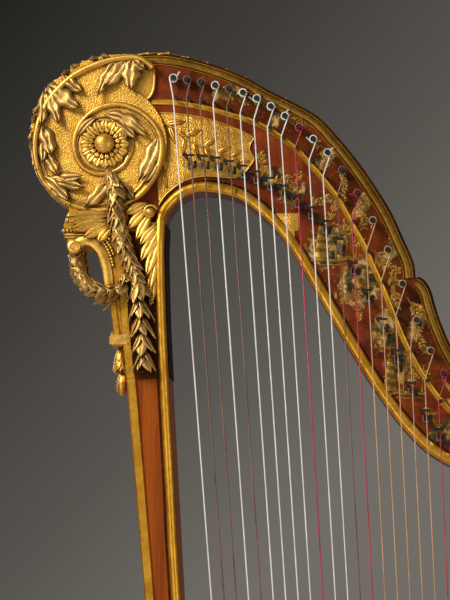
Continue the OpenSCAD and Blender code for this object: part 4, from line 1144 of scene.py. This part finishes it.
# Frieze of laurel leaves and berries, and a row of beads above it
for k, (p, way) in enumerate(round_base(0.3, 104.5, 8.5)):
    outward = way.cross(up)
    for hand in (-1, 1):
        frieze.leaf(p + 0.6 * outward, way + Vector((0, 0, 0.62 * hand)), outward, 14.5, 6.4, 1.8,
                    1.6, 0, 0, 0.2 * hand, 0.4, 1.2)
    if k % 2:
        frieze.ball(p + 1.9 * outward + 3 * way, 2.1, 8, 5)
for p, way in round_base(0.2, 122.8, 6.2):
    frieze.ball(p + 0.7 * way.cross(up), 2.3, 8, 5)
# Acanthus up the corners of the nose, and a palmette between them
for hand in (-1, 1):
    frieze.leaf((-226.5, hand * 61, 41), up, (-1, hand * 0.9, 0), 48, 30, 4, 4, 3, 0.3, 0,
                0.5, 2)
for k in range(-4, 5):
    a = math.radians(90 - 21 * k)
    frieze.leaf((-225.6, 7 * math.cos(a), 48 + 4 * math.sin(a)), (0, math.cos(a), math.sin(a)),
                (-1, 0, 0), 34 - 1.5 * abs(k), 11, 2.6, 3, 0, 0, 0, 0.5, 1.6)
frieze.ball((-226.5, 0, 49), (4, 7, 7), 16, 8)

# Column foot: mouldings and standing leaves on its four sides
for z, grow, profile in (
        (158, 0, [(-3, -2), (0.6, -2), (2.6, 0), (3.4, 2.4), (2.4, 4.6), (-3, 5)]),
        (216, -4.5, [(-3, -2), (0.4, -2), (2.4, 0), (3.4, 3), (3.6, 6), (2.6, 9), (-3, 9)])):
    x0, x1, y0, y1 = -188 - grow, -138 + grow, -22 - grow, 46 + grow
    square = [(x1, y0, z), (x1, NECK_Y, z), (x1, y1, z), (0.5 * (x0 + x1), y1, z), (x0, y1, z),
              (x0, NECK_Y, z), (x0, y0, z), (0.5 * (x0 + x1), y0, z)]
    trim.sweep(square, profile, up, closed=True)
for x, y, out in ((-163.5, -17.2, (0, -1, 0)), (-163.5, 41.2, (0, 1, 0)),
                  (-183.2, NECK_Y, (-1, 0, 0)), (-143.8, NECK_Y, (1, 0, 0))):
    across = Vector(out).cross(up)
    wide, half, gaps = (1.0, 15.0, 6) if out[1] else (1.4, 26.0, 10)
    for shift, slant, length, width in ((0, 0, 44, 22), (-11, -0.22, 37, 15), (11, 0.22, 37, 15),
                                         (-5.5, -0.1, 28, 13), (5.5, 0.1, 28, 13)):
        frieze.leaf(Vector((x, y, 169)) + wide * shift * across, up + slant * across, out,
                    length, width * wide, 2.6, 3.4, 3 if length > 40 else 0, 0.25, 0, 0.5, 1.8)
    for k in range(gaps + 1):
        frieze.ball(Vector((x, y, 164.4)) + (k / gaps - 0.5) * 2 * half * across
                    - 1.5 * Vector(out), 2.1, 8, 5)
trim.done("base_mouldings", GOLD_LINE, "gilding")
frieze.done("base_foliage", GOLD, "gilding", angle=70)

# Stringing over the joints of the staves, and rims round the sound holes
lines, hole_rims = Solids(), Solids()
for k in range(1, 7):
    a = math.radians(-90 + 180 * k / 7)
    z0 = 0.0
    for step in range(12):
        z0 = (1.5 + (BACK_IN + half_box(z0) * math.cos(a)) * math.sin(LEAN)) / math.cos(LEAN)
    path = [on_back(a, z) for z in (z0, 0.5 * (z0 + STAVES_TOP), STAVES_TOP)]
    lines.sweep(path, rounded(3.0, 0.7, 4, 0.8), box_way(math.cos(a), math.sin(a), 0))
# The middle stave is flat, so it lies inside the half round
flat = math.cos(math.pi / 14)
for hole in HOLES:
    ring = []
    for c, s in circle(36):
        z = hole + HOLE_R * s + (HOLE_HALF if s >= 0 else -HOLE_HALF)
        ring.append(in_box(BACK_IN + half_box(z) * flat, HOLE_R * c, z))
    hole_rims.sweep(ring, rounded(4.2, 2.0, 6, 0.8), box_way(1, 0, 0), closed=True)
crown = [on_back(math.radians(-90 + 180 * k / 7), BOX_TOP) for k in range(8)]
hole_rims.sweep([in_box(BOARD_IN, -BOX_HIGH, BOX_TOP)] + crown
                + [in_box(BOARD_IN, BOX_HIGH, BOX_TOP)],
                [(-1, -1.2), (1.4, -1.2), (2.4, 0), (1.4, 1.2), (-1, 1.2)], box_way(0, 0, 1))
lines.done("stave_stringing", DARK_LACQUER_AND_SHADE, "red_lacquer")
hole_rims.done("hole_rims", GOLD_LINE, "gilding")

# ---- Soundboard: rose rims, border lines and painted flowers ----

def on_board(y, z, lift=0.0):
    return in_box(BOARD_IN - lift, y, z)


def board_way(angle):
    return box_way(0, math.cos(math.radians(angle)), math.sin(math.radians(angle)))


def board_line(path, width, closed=False, height=0.5, sides=4):
    """Gilt line on the board, along places (y, z)."""
    border.sweep([on_board(y, z) for y, z in path], rounded(width, height, sides, 0.6),
                 BOARD_OUT, closed=closed)


border, greens, blooms = Solids(), Solids(), Solids()
heights = range(60, 1101, 80)
for hand in (-1, 1):
    for inset, width in ((15, 2.2), (19, 0.9)):
        board_line([(hand * (half_box(z) - inset), z) for z in heights], width)
    board_line([(hand * (14 - 0.004 * z), z) for z in heights], 1.4)
for z in (60, 1100):
    for shares in ((-1, -0.5, -0.24), (0.24, 0.5, 1)):
        board_line([(share * (half_box(z) - 15), z) for share in shares], 2.2)


def bloom(y, z, size, petals=6):
    """Painted flower: two rings of petals and a gilt eye."""
    for ring, reach in enumerate((1.0, 0.62)):
        for k in range(petals):
            a = 360 * (k + 0.5 * ring) / petals
            blooms.leaf(on_board(y, z, 0.5 + 0.4 * ring) + 0.12 * size * board_way(a),
                        board_way(a), BOARD_OUT, reach * size, 0.8 * reach * size, 0.5, 0.3, 0, 0,
                        0, 0.4, 0.7, 1.8, small=True)
    border.ball(on_board(y, z, 1.2), (0.2 * size, 0.2 * size, 0.8), 8, 5,
                x=(0, 1, 0), z=BOARD_OUT)


def twig(y, z, angle, length, bend, seed):
    """Painted twig with leaves and buds."""
    chance = random.Random(seed)
    path, a = [(y, z)], angle
    steps = 9
    for k in range(steps):
        a += bend / steps
        path.append((path[-1][0] + length / steps * math.cos(math.radians(a)),
                     path[-1][1] + length / steps * math.sin(math.radians(a))))
        if k:
            for hand in (-1, 1):
                turn_to = a + hand * chance.uniform(30, 55)
                greens.leaf(on_board(*path[-1], 0.3), board_way(turn_to), BOARD_OUT,
                            chance.uniform(9, 14), chance.uniform(3.6, 5.2), 0.5, 0.2, 0, 0,
                            chance.uniform(-0.4, 0.4), 0.4, 0.6, small=True)
    greens.sweep([on_board(*p, 0.1) for p in path], rounded(1.2, 0.5, 4, 0.5), BOARD_OUT,
                 lambda u: 1.1 - 0.5 * u)
    bloom(*path[-1], 6.5, 5)


for hand in (-1, 1):
    for z in ROSES:
        y = hand * 0.55 * half_box(z)
        for r, width, height in ((19.6, 2.6, 1.3), (23.0, 1.0, 0.5)):
            board_line([(y + r * c, z + r * s) for c, s in circle(40)], width, True, height, 6)
        for a in range(0, 360, 20):
            greens.leaf(on_board(y, z, 0.2) + 25 * board_way(a), board_way(a + 65 * hand),
                        BOARD_OUT, 9.5, 4.2, 0.5, 0.2, 0, 0, 0.3, 0.4, 0.6, small=True)
        for a in range(30, 360, 60):
            bloom(y + 28.5 * math.cos(math.radians(a)), z + 28.5 * math.sin(math.radians(a)), 4.6)
    # Twigs: share of the half width, height, heading, length, bend
    for n, (share, z, angle, length, bend) in enumerate((
            (0.5, 385, 80, 58, 40), (0.5, 385, 100, 50, -46), (0.5, 385, 265, 46, 40),
            (0.5, 385, 285, 46, -50), (0.5, 650, 80, 46, 40), (0.5, 650, 105, 42, -46),
            (0.5, 650, 265, 40, 40), (0.52, 900, 85, 52, 20), (0.52, 900, 262, 36, -30),
            (0.55, 118, 70, 40, 40), (0.55, 118, 120, 46, -40), (0.5, 1010, 88, 36, 20))):
        twig(hand * share * half_box(z), z, angle if hand > 0 else 180 - angle, length,
             bend * hand, n + (20 if hand > 0 else 0))
    for share, z, size in ((0.5, 385, 11), (0.5, 650, 9.5), (0.52, 900, 8), (0.55, 118, 10)):
        y = hand * share * half_box(z)
        bloom(y, z, size, 7)
        bloom(y + 8, z - 7, 0.6 * size, 5)
        bloom(y - 8, z - 5, 0.6 * size, 5)
border.done("board_lines", GOLD_LINE, "gilding")
greens.done("board_greens", PAINT_GREEN, None)
blooms.done("board_blooms", PAINT_ROSE, None)

# ---- Shod feet of the pedals ----

for note, x, y in PEDALS:
    tread = Solids()
    rows = []
    for grow, z in ((0.6, 79), (0.9, 81.5), (0.4, 83.6), (-1.2, 84.6), (-4.5, 85.2), (-9, 85.4)):
        half = 12 + grow
        bow = [(x + 30 + half * math.cos(a), y + half * math.sin(a), z)
               for a in [math.pi * k / 10 - math.pi / 2 for k in range(11)]]
        rows.append([(x + 8 - grow, y - 11.6 - grow, z)] + bow
                    + [(x + 8 - grow, y + 11.6 + grow, z)])
    tread.rows(rows)
    for k in range(5):
        across = x + 14 + 5.2 * k
        reach = 9.2 if k < 3 else 9.2 - 2.6 * (k - 2)
        tread.tube([(across, y - reach, 85.0), (across, y, 85.3), (across, y + reach, 85.0)], 1.1,
                   8)
    tread.done("tread_" + note, BRASS, "brass", body="pedal_" + note)

# ---- Stage, light and camera ----

def plain(name, color, roughness):
    m = material(name)
    shaded = tuple(0.94 * c for c in color)
    m.set(Base_Color=m.ramp(m.noise(3, 4, 0.5), [(0.3, shaded), (0.7, color)]),
          Roughness=roughness)
    m.bump((m.noise(200, 3, 0.5), 0.05, 0.0005))
    return m.owner


floor_mesh = bpy.data.meshes.new("floor")
floor_mesh.from_pydata([(-4, -4, 0), (4, -4, 0), (4, 4, 0), (-4, 4, 0)], [], [(0, 1, 2, 3)])
floor_mesh.materials.append(plain("floor", (0.62, 0.61, 0.59), 0.7))
floor = bpy.data.objects.new("floor", floor_mesh)
bpy.context.scene.collection.objects.link(floor)

# The wall ahead of the camera is a gradient of painted light, brighter to the right and lower down;
# elsewhere it is one even tone, and dimmer as a light
WALL, DIM = (0.125, 0.115, 0.101), (0.085, 0.08, 0.076)
world = bpy.data.worlds.new("studio")
bpy.context.scene.world = world
sky = Nodes(world, "Background", "Generated")
slope = sky.new("VectorMath", {0: sky.coordinates, 1: (2.55, 0, -2.33)},
                operation="DOT_PRODUCT").outputs["Value"]
# Painted light on the wall: brighter to the right and lower down
backdrop_light_falloff = sky.ramp(sky.math("ADD", slope, 0.97), [
    (spot, (1.04 * tone, 0.96 * tone, 0.84 * tone))
    for spot, tone in ((0, 0.015), (0.3, 0.048), (0.55, 0.093), (0.8, 0.158), (1, 0.158))])
ahead = sky.new("SeparateXYZ", {0: sky.coordinates}).outputs["Y"]
seen = sky.new("LightPath").outputs["Is Camera Ray"]
sky.set(Color=sky.mix(seen, DIM, sky.mix(sky.range(ahead, 0.80, 0.93), WALL, backdrop_light_falloff)),
        Strength=1.0)


def lamp(name, place_m, aim_m, watts, size, color=(1, 1, 1)):
    light = bpy.data.lights.new(name, "AREA")
    light.energy = watts
    light.size = size
    light.color = color
    holder = bpy.data.objects.new(name, light)
    holder.location = place_m
    holder.rotation_euler = (Vector(aim_m) - Vector(place_m)).to_track_quat("-Z", "Y").to_euler()
    bpy.context.scene.collection.objects.link(holder)


lamp("key", (-1.8, -1.7, 2.9), (-0.1, 0, 1.3), 78, 1.0, (1, 0.96, 0.9))
lamp("fill", (1.8, -2.6, 1.3), (-0.1, 0, 1.1), 18, 1.6)
lamp("back", (-1.6, 2.5, 2.2), (-0.1, 0, 1.2), 30, 1.3)
lamp("low", (-1.4, -2.5, 0.8), (-0.1, 0, 0.9), 9, 0.9)

bpy.context.scene.view_settings.view_transform = "Standard"
camera = bpy.data.objects.new("camera", bpy.data.cameras.new("camera"))
camera.data.sensor_width = 36
camera.data.lens = 151.6
camera.data.clip_end = 50
eye, aim = Vector((0.0054, -2.5, 1.050)), Vector((-0.1606, 0, 1.372))
camera.location = eye
camera.rotation_euler = (aim - eye).to_track_quat("-Z", "Y").to_euler()
bpy.context.scene.collection.objects.link(camera)
bpy.context.scene.camera = camera
